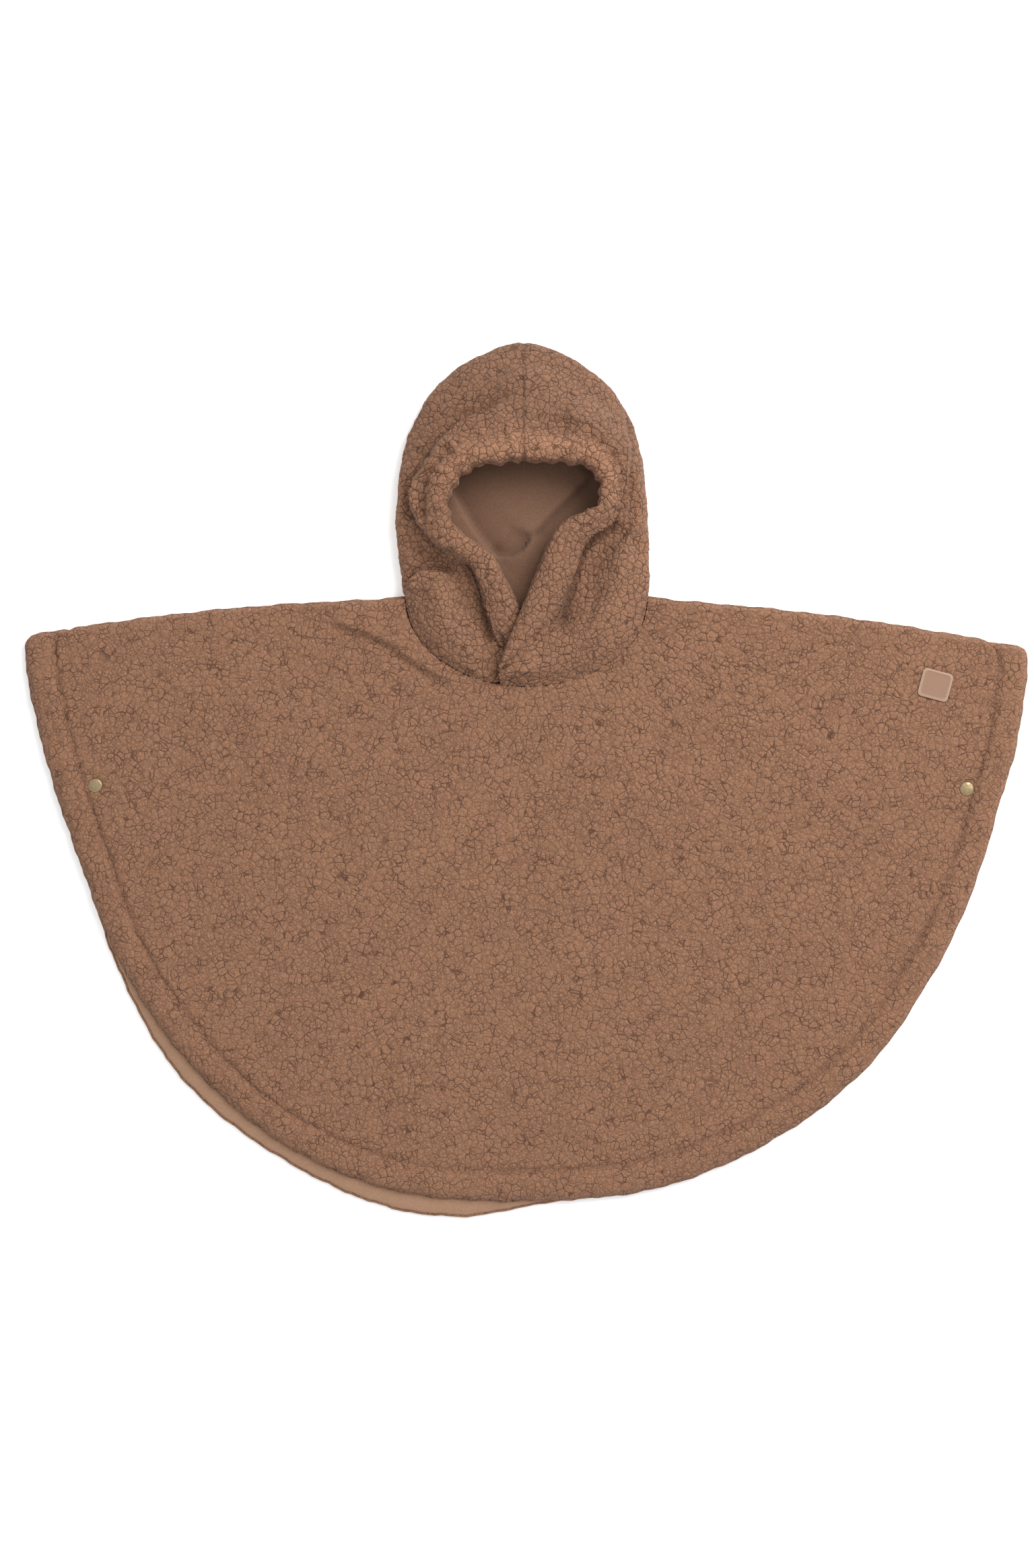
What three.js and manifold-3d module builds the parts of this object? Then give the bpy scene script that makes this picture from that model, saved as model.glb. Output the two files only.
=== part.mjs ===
// Hooded fleece poncho for a toddler, laid flat on its back with the hood's face opening upwards.
// Millimetres. +X runs across the laid garment, +Y from the hem towards the hood, +Z up.
// The origin is under the middle of the outline, on the surface that the garment lies on.
//
// Every cloth piece is a grid of sections: an outer surface worked out from the tables below, and an
// inner surface one cloth thickness behind it. Shell is the pile fleece, lining is the smooth fleece.
import * as THREE from "three";
import { mergeVertices } from "three/addons/utils/BufferGeometryUtils.js";
import Module from "manifold-3d";

const wasm = await Module();
wasm.setup();

// Cloth
const SHELL = 4.5;
const LINING = 1.5;
const SEAM_GAP = 0.3;
const PANEL_GAP = 0.3;
const NECK_CLEARANCE = 0.4;
const PILE_BROWN = 0x9e775c;
const LINING_BROWN = 0xa37e66;
const LABEL_TAN = 0xb08a70;
const SNAP_BEIGE = 0xa08a66;

// Body outline: the hem's distance from a hub between the shoulders, by angle from the left wing
const HUB = { x: 0, y: 152 };
const WING_CORNER_RADIUS = { left: 14, right: 8 };
const SHOULDER_BOW = 5.5;
const SHOULDER_FADE_DEG = 9;
const LEFT_WING_DEG = 3.2;
const RIGHT_WING_DEG = 175.3;
const HEM_COLUMNS = ["angle", "front", "back"];
const HEM = tableOf(HEM_COLUMNS, [
  [0, 441, 438],
  [6, 440.5, 437],
  [18, 441, 437],
  [30, 450.5, 448],
  [42, 474.5, 479],
  [54, 498, 512],
  [66, 517.5, 529],
  [78, 525, 540.5],
  [84, 523, 537.5],
  [90, 521, 526],
  [96, 521.5, 518],
  [102, 522.5, 517],
  [114, 515.5, 511],
  [126, 502.5, 498],
  [138, 479.5, 475],
  [150, 459.5, 455],
  [162, 446, 442],
  [174, 441, 437],
  [180, 440, 436],
]);

// Neck: the front is half an ellipse below the shoulder line, the back a shallow dip
const NECK = { halfWidth: 106, shoulderY: 158, frontDepth: 77, backDip: 11 };

// Hem: a turned edge with one row of topstitching that sinks into the pile
const HEM_WIDTH = 24;
const HEM_PUFF = 2.4;
const STITCH_DEPTH = 2.2;
const STITCH_SPREAD = 2.6;
const EDGE_ROUND = 7;
const EDGE_LEAST = 0.16;
const RELIEF_ROUND = 1.4 * EDGE_ROUND;
const PANEL_THICKNESS = 6;

// Heights of the stacked layers
const BACK_TOP = SHELL;
const BACK_LINING_TOP = BACK_TOP + SEAM_GAP + LINING;
const FRONT_BOTTOM = BACK_LINING_TOP + PANEL_GAP;
const FRONT_TOP = FRONT_BOTTOM + PANEL_THICKNESS;
const COLLAR_BOTTOM = FRONT_BOTTOM + 0.3;
const LINING_HEM_INSET = 1.2;
const LINING_NECK_INSET = 2.5;

// Soft troughs and ridges of the front: two ends, the half width and the height of each
const FOLD_COLUMNS = ["x0", "y0", "x1", "y1", "spread", "height"];
const FOLD_RUN_OUT = 1.6;
const FRONT_FOLDS = tableOf(FOLD_COLUMNS, [
  [-168, 136, -84, 92, 10, -2.6],
  [-150, 146, -92, 118, 9, 1.4],
  [112, 140, 70, 92, 9, -1.2],
  [150, 30, 300, -70, 26, -1.0],
  [60, 20, 250, -110, 30, 1.1],
  [-330, 60, -180, -40, 30, -0.9],
  [-120, -250, 60, -150, 34, 0.9],
]);

// Hood: one row for each section, from the crown seam round to the front of the neck. A section runs
// from the tip of the rolled face edge out to the outline, where the cloth turns under or is sewn in.
//   tipZ, rimZ   heights of the roll's inner foot and of its top
//   band         distance from the tip to the row of stitching behind the roll
//   fold, lip    distance from the tip to the main fold, and how far its lip stands out
//   humpZ, lowZ  heights before and behind that fold
//   midZ, turnZ  heights half-way on, and where the outline starts to turn
//   turn, edgeZ  length of that turn, and height of the outline itself
const HOOD_COLUMNS = [
  "tipX", "tipY", "edgeX", "edgeY", "tipZ", "rimZ", "band", "humpZ", "fold", "lip",
  "lowZ", "midZ", "turnZ", "turn", "edgeZ",
];
const HOOD_LEFT = tableOf(HOOD_COLUMNS, [
  [-1, 278, -4, 382, 30, 50, 26, 49, 53, 2, 38, 33, 24, 18, 10],
  [-14, 277, -42, 370, 30, 50, 26, 49, 49, 4, 34, 29, 23, 17, 10],
  [-34, 275, -76, 346, 29, 49, 25, 46, 42, 5, 30, 26, 22, 16, 10],
  [-48, 270, -96, 317, 28, 47, 23, 43, 36, 5, 27, 24, 21, 15, 10],
  [-59, 258, -107, 287, 26, 45, 24, 39, 36, 5, 26, 24, 21, 13, 10],
  [-66, 246, -112, 257, 23, 43, 27, 34, 35, 4, 26, 24, 22, 11, 10],
  [-67, 230, -114, 227, 20, 42, 26, 32, 33, 4, 24, 22, 20, 12, 10],
  [-55, 214, -112, 197, 18, 40, 27, 31, 32, 5, 20, 20, 19, 15, 10],
  [-38, 202, -109, 175, 17, 38, 25, 30, 29, 5, 20, 20, 18, 16, 10],
  [-27, 192, -106, 158, 16, 36, 22, 28, 26, 5, 20, 28, 21, 17, 11],
  [-19, 177, -98.3, 129.2, 14, 33, 24, 26, 28, 6, 19, 29, 21, 18, 12],
  [-12, 164, -78.8, 106.5, 12, 28, 26, 22, 30, 5, 17, 26, 20, 17, 12],
  [-5, 150, -49.8, 90, 10, 21, 32, 17, 36, 3, 16, 20, 18, 16, 12],
  [2, 138, -33.5, 86.4, 9, 15.5, 26, 14, 32, 1, 15, 15.5, 15, 12, 11],
  [5, 131, -26.5, 91, 9, 15, 20, 14, 28, 0, 13.5, 13.5, 13.5, 12, 11],
  [12, 120, -6, 91, 8.5, 14, 12, 13.5, 18, 0, 13, 13, 13, 10, 10.5],
  [15, 108, 10, 91, 8.5, 13.5, 8, 13, 10, 0, 12.5, 12.5, 12.5, 7, 10],
]);
const HOOD_RIGHT = tableOf(HOOD_COLUMNS, [
  [-1, 278, -4, 382, 30, 50, 26, 49, 53, 2, 38, 33, 24, 18, 10],
  [19, 277, 36, 370, 30, 50, 26, 42, 44, 0, 40, 33, 24, 17, 10],
  [38, 276, 69, 346, 31, 50, 25, 46, 40, 1, 38, 31, 24, 16, 10],
  [53, 271, 90, 317, 31, 50, 22, 45, 32, 2, 37, 31, 25, 14, 10],
  [62, 259, 99, 288, 30, 48, 20, 42, 27, 3, 36, 32, 26, 12, 10],
  [63, 247, 104, 257, 29, 46, 19, 39, 26, 3, 34, 31, 26, 11, 10],
  [60, 237, 106, 228, 28, 45, 19, 37, 26, 3, 31, 30, 25, 12, 10],
  [47, 231, 107, 200, 27, 43, 22, 35, 27, 4, 27, 30, 23, 15, 10],
  [34, 225, 107.5, 177, 26, 42, 24, 33, 27, 6, 23, 31, 22, 17, 10],
  [24, 215, 106, 158, 26, 40, 26, 31, 30, 6, 22, 31, 21, 18, 11],
  [18, 204, 98.3, 129.2, 25, 38, 30, 31, 34, 6, 22, 30, 20, 18, 12],
  [12.6, 191, 78.8, 106.5, 24, 36, 32, 30, 36, 6, 22, 29, 20, 18, 12],
  [6, 175, 49.8, 90, 23, 34, 35, 29, 41, 4, 24, 26, 21, 18, 12],
  [-1, 157, 22, 82.7, 22, 32, 32, 28, 40, 2, 25, 25, 22, 17, 12],
  [-9, 138, 3, 81.1, 22, 30, 26, 28, 33, 0, 26, 25, 23, 15, 12],
  [-18, 116, -12, 81.6, 21, 28, 16, 27, 20, 0, 26, 25, 24, 12, 12],
  [-24, 99, -22.5, 82.8, 21, 27, 8, 26, 10, 0, 25, 25, 24, 8, 12],
]);
const SHOULDER_ROW = 9;
const CROWN_UNDER = { x: -3.6, y: 362 };
const UNDER_TURN = 14;
const UNDER_TURN_STEPS = [0.2, 0.6, 1];
const UNDER_FLAT_STEPS = [0.25, 0.5, 0.75, 1];
const BAND_PUFF = 1.2;
const EARLY_SECTIONS = 15;
const GATHER_PITCH = (2 * SHOULDER_ROW) / (EARLY_SECTIONS - 1);
const GATHER_HEIGHT = 1.5;
const GATHER_REACH = 9;
const GATHER_END = 8;
const GATHER_FADE = 2;
const DEEPEST_RELIEF = 3;
const TURN_PER_DROP = 1.2;
const SHORT_SECTION = 45;
const HUMP_SETBACK = 4;
const FOLD_RUN = 13;
const LIP_REACH = 12;
const LIP_SHARE = 0.6;

// How a section is shared out. The first four are the most that a part may take of what it lies in, the
// next six are spaces along the section, and the last two place the puff in the band
const SECTION = {
  turnOfLength: 0.45, bandOfTop: 0.6, rollOfBand: 0.46, rollOfLength: 0.35,
  humpToTurn: 2, lowPastFold: 8, lowToTurn: 4, lowToEnd: 12, tipFade: 6, edgeFade: 8,
  puffAt: 0.55, puffSpread: 0.3,
};
const SPINE_RUN_OUT = { length: 20, drop: 5 };

// Spacing of a section's points: shares of the roll, of the way to the stitching, of the way on to the
// fold, of the way on to the turn, and of the turn. Stitching and fold have a point on either side
const ROLL_STEPS = [0, 0.1, 0.35, 1];
const BAND_STEP = 0.55;
const FOLD_STEP = 0.55;
const OUT_STEPS = [0.33, 0.7, 1];
const TURN_STEPS = [0.42, 0.76, 1];
const STITCH_SIDES = { before: 0.8, after: 2.4 };
const FOLD_SIDES = { before: 1, after: 2.2 };
const FOLD_ROOM = { band: 5, turn: 7 };

// Creases of the hood's outer cloth, each along a line of places [x, y]. On the left hand of the line the
// cloth stands out by rise, on its right hand it sinks by drop, and both die away over their reach
const CREASE_EASE = 3;
const CREASE_END_SHARE = 0.16;
const HOOD_CREASES = [
  {
    name: "left layer over the side", rise: 3, reach: 12, drop: 3, fall: 7,
    line: [[-6, 334], [-44, 316], [-60, 310], [-82, 281], [-104, 252], [-94, 223], [-78, 203], [-50, 188]],
  },
  {
    name: "between the left puffs", rise: -2.2, reach: 5, drop: 2.2, fall: 5,
    line: [[-67, 293], [-78, 276], [-92, 247], [-92, 230], [-87, 215]],
  },
  {
    name: "left throat", rise: 1.5, reach: 8, drop: 3.5, fall: 6,
    line: [[-55, 195], [-40, 171], [-37, 152], [-32, 136], [-30, 115]],
  },
  {
    name: "left pouch", rise: 3.5, reach: 13, drop: 1.5, fall: 6,
    line: [[-62, 178], [-78, 183], [-94, 182], [-104, 173], [-106, 162]],
  },
  {
    name: "right layer over the side", rise: 2, reach: 10, drop: 3, fall: 6,
    line: [[89, 228], [90, 260], [91, 288], [87, 310], [84, 328]],
  },
  {
    name: "right puff", rise: 3, reach: 9, drop: -3, fall: 9,
    line: [[30, 317], [54, 310], [72, 294], [81, 280], [84, 262]],
  },
  {
    name: "right throat", rise: 2, reach: 8, drop: 4, fall: 6,
    line: [[24, 124], [30, 136], [36, 156], [47, 196], [64, 213], [73, 218], [79, 232]],
  },
  {
    name: "right side", rise: -2.5, reach: 7, drop: 2.5, fall: 7,
    line: [[80, 183], [61, 161], [55, 146], [52, 127]],
  },
];

// Inside, behind the face opening: a low pillow at the nape, and the slack of each side folded up
const NAPE_FOLDS = tableOf(FOLD_COLUMNS, [
  [-30, 232, 22, 232, 26, 5],
  [-78, 236, -31, 170, 14, 8],
  [62, 242, 14, 193, 13, 6],
]);

// Press studs, one on each side of the body, and the woven label
const STUDS = [
  { name: "left", x: -377, y: -5.5 },
  { name: "right", x: 385, y: -8.5 },
];
const STUD = {
  capRadius: 6.2, capHeight: 1.7, dome: 0.9, shankRadius: 2, discRadius: 5, discHeight: 1.5, knobRadius: 1.7,
  play: 0.35, capSunk: 0.4, discAbove: 0.3, backCapBottom: 0.4, backCapTop: 1.9,
};
const LABEL = { x: 357.3, y: 82.5, width: 27, length: 25, thickness: 0.9, turnDeg: -15, corner: 2.5 };

// Distances of the panels' points from the hem and from the neck, and the number of points between them
const FRONT_GRID = { sections: 30, hem: [0, 1.2, 3.5, 8, 14, 20, 24, 28, 36], neck: [0, 1.5, 5], between: 5 };
const BACK_GRID = {
  sections: 26, hem: [0, LINING_HEM_INSET, 3.5, 8, 30], neck: [0, LINING_NECK_INSET], between: 2,
};
const SHOULDER_STEPS_DEG = [0, 0.3, 0.9, 2, 4, 7];

// Tables

function tableOf(columns, rows) {
  return rows.map((row) => Object.fromEntries(columns.map((name, i) => [name, row[i]])));
}

// Smooth interpolation of one column through a table's rows, at a fractional row number. The first row
// lies on the crown seam, where the two halves meet without a peak
function column(rows, name, t) {
  const i = Math.min(rows.length - 2, Math.max(0, Math.floor(t)));
  const f = t - i;
  const at = (k) => rows[Math.min(rows.length - 1, Math.max(0, k))][name];
  const [p, a, b, q] = [at(i - 1), at(i), at(i + 1), at(i + 2)];
  const runsAcross = name.endsWith("X");
  const startSlope = i > 0 ? (b - p) / 2 : runsAcross ? b - a : 0;
  const endSlope = (q - a) / 2;
  return hermite(a, b, startSlope, endSlope, f);
}

function hermite(a, b, startSlope, endSlope, f) {
  const f2 = f * f;
  const f3 = f2 * f;
  return a * (2 * f3 - 3 * f2 + 1) + startSlope * (f3 - 2 * f2 + f)
    + b * (3 * f2 - 2 * f3) + endSlope * (f3 - f2);
}

// Smooth curve through points [x, y] with rising x
function curveThrough(points, x) {
  const last = points.length - 1;
  let i = 0;
  while (i < last - 1 && x > points[i + 1][0]) i += 1;
  const slope = (k) => (points[k + 1][1] - points[k][1]) / (points[k + 1][0] - points[k][0]);
  const tangent = (k) => (k === 0 ? slope(0) : k === last ? slope(last - 1) : (slope(k - 1) + slope(k)) / 2);
  const step = points[i + 1][0] - points[i][0];
  const f = Math.min(1, Math.max(0, (x - points[i][0]) / step));
  return hermite(points[i][1], points[i + 1][1], tangent(i) * step, tangent(i + 1) * step, f);
}

const radians = (degrees) => (degrees * Math.PI) / 180;
const bell = (distance, spread) => Math.exp(-((distance / spread) ** 2));
const mix = (a, b, f) => a + (b - a) * f;

// Solids

const MERGE_DISTANCE = 1e-4;
const CUTTER_SEGMENTS = 20;
const LATHE_SEGMENTS = 16;

// A closed wall from two grids of points: cells (i, j) that keep() allows, outer faces up, and a rim
// of side faces round every border
function wall(rows, cols, keep, outer, inner) {
  const positions = [];
  const push = (...points) => points.forEach((p) => positions.push(p.x, p.y, p.z));
  const quad = (a, b, c, d) => push(a, b, c, a, c, d);
  const kept = (i, j) => i >= 0 && j >= 0 && i < rows - 1 && j < cols - 1 && keep(i, j);
  for (let i = 0; i < rows - 1; i += 1) {
    for (let j = 0; j < cols - 1; j += 1) {
      if (!kept(i, j)) continue;
      const corners = [[i, j], [i + 1, j], [i + 1, j + 1], [i, j + 1]];
      const neighbours = [[i, j - 1], [i + 1, j], [i, j + 1], [i - 1, j]];
      const o = corners.map(([a, b]) => outer[a][b]);
      const n = corners.map(([a, b]) => inner[a][b]);
      quad(o[0], o[1], o[2], o[3]);
      quad(n[0], n[3], n[2], n[1]);
      neighbours.forEach(([a, b], side) => {
        if (kept(a, b)) return;
        const next = (side + 1) % 4;
        quad(o[side], n[side], n[next], o[next]);
      });
    }
  }
  const geometry = new THREE.BufferGeometry();
  geometry.setAttribute("position", new THREE.Float32BufferAttribute(positions, 3));
  return geometry;
}

function turnedInsideOut(geometry) {
  const p = geometry.getAttribute("position");
  const flipped = [];
  for (let i = 0; i < p.count; i += 3) {
    [i, i + 2, i + 1].forEach((k) => flipped.push(p.getX(k), p.getY(k), p.getZ(k)));
  }
  const geometryOut = new THREE.BufferGeometry();
  geometryOut.setAttribute("position", new THREE.Float32BufferAttribute(flipped, 3));
  return geometryOut;
}

function solidOf(geometry) {
  const loose = geometry.index ? geometry.toNonIndexed() : geometry;
  const bare = new THREE.BufferGeometry();
  bare.setAttribute("position", loose.getAttribute("position"));
  const merged = mergeVertices(bare, MERGE_DISTANCE);
  return new wasm.Manifold(new wasm.Mesh({
    numProp: 3,
    vertProperties: merged.getAttribute("position").array,
    triVerts: new Uint32Array(merged.index.array),
  }));
}

function geometryOf(solid) {
  const mesh = solid.getMesh();
  const geometry = new THREE.BufferGeometry();
  geometry.setAttribute("position", new THREE.BufferAttribute(new Float32Array(mesh.vertProperties), 3));
  geometry.setIndex(new THREE.BufferAttribute(new Uint32Array(mesh.triVerts), 1));
  return geometry;
}

function withCuts(geometry, cutters) {
  return geometryOf(cutters.reduce((solid, cutter) => solid.subtract(solidOf(cutter)), solidOf(geometry)));
}

function upright(radius, bottom, top, x, y) {
  return new THREE.CylinderGeometry(radius, radius, top - bottom, CUTTER_SEGMENTS)
    .rotateX(Math.PI / 2)
    .translate(x, y, (top + bottom) / 2);
}

// Body panels

function hemPoint(side, degrees) {
  const rows = HEM.map((row) => [row.angle, row[side]]);
  const full = curveThrough(rows, degrees);
  const fromEnd = Math.min(degrees - LEFT_WING_DEG, RIGHT_WING_DEG - degrees);
  const corner = degrees < 90 ? WING_CORNER_RADIUS.left : WING_CORNER_RADIUS.right;
  const into = Math.min(1, (radians(fromEnd) * full) / corner);
  const cornered = full - corner * (1 - Math.sqrt(1 - (1 - into) ** 2));
  return {
    x: HUB.x - cornered * Math.cos(radians(degrees)),
    y: HUB.y - cornered * Math.sin(radians(degrees)),
  };
}

// The neck edge of a panel, 0 at the left shoulder and 1 at the right, a gap outside the hood's own edge
function neckPoint(side, share, gap) {
  const turn = Math.PI * share;
  const x = -(NECK.halfWidth + gap) * Math.cos(turn);
  if (side === "front") return { x, y: NECK.shoulderY - (NECK.frontDepth + gap) * Math.sin(turn) };
  return { x, y: backNeckY(x) - gap };
}

function backNeckY(x) {
  return NECK.shoulderY - NECK.backDip * Math.max(0, 1 - (x / NECK.halfWidth) ** 2);
}

function panelPoint(side, degrees, fromHem, fromNeck, gap) {
  const share = (degrees - LEFT_WING_DEG) / (RIGHT_WING_DEG - LEFT_WING_DEG);
  const hem = hemPoint(side, degrees);
  const neck = neckPoint(side, share, gap);
  const length = Math.hypot(hem.x - neck.x, hem.y - neck.y);
  const along = fromNeck === null ? 1 - fromHem / length : fromNeck / length;
  const fromShoulder = Math.min(degrees - LEFT_WING_DEG, RIGHT_WING_DEG - degrees);
  const bow = SHOULDER_BOW * Math.sin(Math.PI * along) * Math.exp(-fromShoulder / SHOULDER_FADE_DEG);
  const x = mix(neck.x, hem.x, along);
  const y = mix(neck.y, hem.y, along) + bow;
  const shoulderGap = radians(fromShoulder) * Math.hypot(x - HUB.x, y - HUB.y);
  return { x, y, hem: (1 - along) * length, neck: along * length, shoulder: shoulderGap };
}

// 0 to 1 across a rounded edge
function rounded(distance, radius) {
  const short = 1 - Math.min(1, distance / radius);
  return Math.max(EDGE_LEAST, Math.sqrt(1 - short * short));
}

function hemRelief(fromHem) {
  const puff = HEM_PUFF * Math.sqrt(Math.max(0, 1 - ((fromHem - HEM_WIDTH / 2) / (HEM_WIDTH / 2)) ** 2));
  return puff - STITCH_DEPTH * bell(fromHem - HEM_WIDTH, STITCH_SPREAD);
}

function foldHeight(folds, x, y) {
  return folds.reduce((sum, fold) => {
    const dx = fold.x1 - fold.x0;
    const dy = fold.y1 - fold.y0;
    const length = Math.hypot(dx, dy);
    const along = ((x - fold.x0) * dx + (y - fold.y0) * dy) / length;
    const aside = ((x - fold.x0) * dy - (y - fold.y0) * dx) / length;
    const past = Math.max(0, -along, along - length);
    return sum + fold.height * bell(aside, fold.spread) * bell(past, fold.spread * FOLD_RUN_OUT);
  }, 0);
}

// Angles of the sections: close together at the shoulders, where the edge is rounded
function panelAngles(steps) {
  const ends = SHOULDER_STEPS_DEG;
  const from = LEFT_WING_DEG + ends.at(-1);
  const to = RIGHT_WING_DEG - ends.at(-1);
  const middle = Array.from({ length: steps - 1 }, (_, i) => mix(from, to, (i + 1) / steps));
  return [...ends.map((d) => LEFT_WING_DEG + d), ...middle, ...ends.map((d) => RIGHT_WING_DEG - d).reverse()];
}

// Points of one panel at the given distances from the hem and from the neck
function panelGrid(side, angles, steps, height) {
  return angles.map((degrees) => {
    const fromHem = (d) => panelPoint(side, degrees, d, null, NECK_CLEARANCE);
    const fromNeck = (d) => panelPoint(side, degrees, null, d, NECK_CLEARANCE);
    const start = fromNeck(steps.neck.at(-1)).neck;
    const step = (fromHem(steps.hem.at(-1)).neck - start) / (steps.between + 1);
    const columns = [
      ...steps.neck.map(fromNeck),
      ...Array.from({ length: steps.between }, (_, i) => fromNeck(start + step * (i + 1))),
      ...steps.hem.map(fromHem).reverse(),
    ];
    return columns.map((p) => new THREE.Vector3(p.x, p.y, height(p)));
  });
}

function panelWall(side, angles, steps, top, bottom) {
  const outer = panelGrid(side, angles, steps, top);
  const inner = panelGrid(side, angles, steps, bottom);
  return turnedInsideOut(wall(outer.length, outer[0].length, () => true, outer, inner));
}

const edgeShare = (p, radius) => rounded(Math.min(p.hem, p.neck, p.shoulder), radius);

function frontPanel() {
  const middle = (FRONT_BOTTOM + FRONT_TOP) / 2;
  const half = PANEL_THICKNESS / 2;
  const top = (p) => middle + half * edgeShare(p, EDGE_ROUND)
    + (hemRelief(p.hem) + foldHeight(FRONT_FOLDS, p.x, p.y)) * edgeShare(p, RELIEF_ROUND);
  const bottom = (p) => middle - half * edgeShare(p, EDGE_ROUND);
  const geometry = panelWall("front", panelAngles(FRONT_GRID.sections), FRONT_GRID, top, bottom);
  const pocket = STUD.capRadius + STUD.play;
  const cuts = STUDS.flatMap(({ x, y }) => [
    upright(pocket, STUD_Z.capBottom - STUD.play, FRONT_TOP + 10, x, y),
    upright(STUD.shankRadius + STUD.play, 0, FRONT_TOP, x, y),
    upright(STUD.discRadius + STUD.play, 0, STUD_Z.discTop + STUD.play, x, y),
  ]);
  return withCuts(geometry, cuts);
}

const backSurface = (p) => (BACK_TOP / 2) * (1 + edgeShare(p, EDGE_ROUND));

function backPanel() {
  const bottom = (p) => BACK_TOP - backSurface(p);
  const geometry = panelWall("back", panelAngles(BACK_GRID.sections), BACK_GRID, backSurface, bottom);
  const cuts = STUDS.flatMap(({ x, y }) => [
    upright(STUD.capRadius + STUD.play, -1, STUD_Z.backCapTop + STUD.play, x, y),
    upright(STUD.shankRadius + STUD.play, -1, BACK_TOP + 1, x, y),
  ]);
  return withCuts(geometry, cuts);
}

function backLining() {
  const bottom = (p) => backSurface(p) + SEAM_GAP;
  const top = (p) => bottom(p) + LINING;
  const inset = { hem: BACK_GRID.hem.slice(1), neck: BACK_GRID.neck.slice(1), between: BACK_GRID.between };
  const geometry = panelWall("back", panelAngles(BACK_GRID.sections).slice(2, -2), inset, top, bottom);
  const hole = STUD.discRadius + STUD.play;
  return withCuts(geometry, STUDS.map(({ x, y }) => upright(hole, 0, FRONT_TOP, x, y)));
}

// Hood

// Landmarks of one section at a fractional row number
function hoodSection(rows, t) {
  const section = Object.fromEntries(HOOD_COLUMNS.map((name) => [name, column(rows, name, t)]));
  const length = Math.hypot(section.edgeX - section.tipX, section.edgeY - section.tipY);
  const drop = section.turnZ - section.edgeZ;
  const turn = Math.min(section.turn, TURN_PER_DROP * drop, SECTION.turnOfLength * length);
  const lipEnd = length - turn;
  const band = Math.min(section.band, SECTION.bandOfTop * lipEnd);
  const roll = Math.min(SECTION.rollOfBand * band, SECTION.rollOfLength * length);
  const hump = Math.min(band + HUMP_SETBACK, lipEnd - SECTION.humpToTurn);
  const behindFold = Math.min(section.fold + SECTION.lowPastFold, lipEnd - SECTION.lowToTurn);
  const low = Math.max(hump + FOLD_RUN, behindFold);
  return { ...section, length, turn, lipEnd, band, roll, hump, low };
}

// Height of the plain outer surface at a distance from the tip, without fold lips and stitching
function hoodHeight(s, distance) {
  const far = Math.max(s.low + SECTION.lowToEnd, s.lipEnd);
  const spine = curveThrough([
    [0, s.rimZ - 1], [s.roll, s.rimZ], [s.hump, s.humpZ], [s.low, s.lowZ],
    [(s.low + far) / 2, s.midZ], [far, s.turnZ],
    [far + SPINE_RUN_OUT.length, s.turnZ - SPINE_RUN_OUT.drop],
  ], distance);
  if (distance < s.roll) return s.tipZ + (spine - s.tipZ) * Math.sqrt(1 - (1 - distance / s.roll) ** 2);
  if (distance > s.lipEnd) {
    const over = Math.min(1, (distance - s.lipEnd) / s.turn);
    return s.edgeZ + (spine - s.edgeZ) * Math.sqrt(1 - over * over);
  }
  return spine;
}

// Signed distance of a place from a line of places, more than 0 on its left hand, and how far along it
function besideLine(line, x, y) {
  const lengths = line.slice(1).map(([bx, by], i) => Math.hypot(bx - line[i][0], by - line[i][1]));
  const whole = lengths.reduce((sum, length) => sum + length, 0);
  let nearest = { away: Infinity, along: 0 };
  let before = 0;
  lengths.forEach((length, i) => {
    const [[ax, ay], [bx, by]] = [line[i], line[i + 1]];
    const dot = ((x - ax) * (bx - ax) + (y - ay) * (by - ay)) / length;
    const cross = ((bx - ax) * (y - ay) - (by - ay) * (x - ax)) / length;
    const on = Math.min(length, Math.max(0, dot));
    const away = Math.hypot(cross, dot - on) * (cross < 0 ? -1 : 1);
    if (Math.abs(away) < Math.abs(nearest.away)) nearest = { away, along: (before + on) / whole };
    before += length;
  });
  return nearest;
}

const eased = (f) => Math.min(1, Math.max(0, f)) ** 2 * (3 - 2 * Math.min(1, Math.max(0, f)));

function creaseHeight(creases, x, y) {
  return creases.reduce((sum, crease) => {
    const { away, along } = besideLine(crease.line, x, y);
    const leftHand = eased((away + CREASE_EASE) / (2 * CREASE_EASE));
    const up = crease.rise * Math.exp(-Math.max(0, away) / crease.reach);
    const down = crease.drop * Math.exp(-Math.max(0, -away) / crease.fall);
    const ends = eased(along / CREASE_END_SHARE) * eased((1 - along) / CREASE_END_SHARE);
    return sum + ends * (leftHand * up - (1 - leftHand) * down);
  }, 0);
}

// What the roll, its stitching, its gathers, the fold's lip and the creases add to the outer surface
function hoodRelief(s, distance, t, { x, y }) {
  const fromEdge = Math.max(0, s.length - distance);
  const fade = Math.min(1, distance / SECTION.tipFade) * Math.min(1, fromEdge / SECTION.edgeFade);
  const puff = BAND_PUFF * bell(distance - s.band * SECTION.puffAt, s.band * SECTION.puffSpread);
  const stitching = -STITCH_DEPTH * bell(distance - s.band, STITCH_SPREAD);
  const beyond = distance - s.fold;
  const lip = beyond < 0
    ? s.lip * LIP_SHARE * Math.exp(beyond / LIP_REACH)
    : s.lip * (LIP_SHARE - 1) * Math.exp(-beyond / LIP_REACH);
  const slack = Math.min(1, Math.max(0, (GATHER_END - t) / GATHER_FADE));
  const gathers = GATHER_HEIGHT * slack * Math.cos((2 * Math.PI * t) / GATHER_PITCH)
    * bell(distance - s.band, GATHER_REACH);
  const creases = creaseHeight(HOOD_CREASES, x, y);
  return Math.max(-DEEPEST_RELIEF, fade * (puff + stitching + lip + gathers + creases));
}

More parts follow.
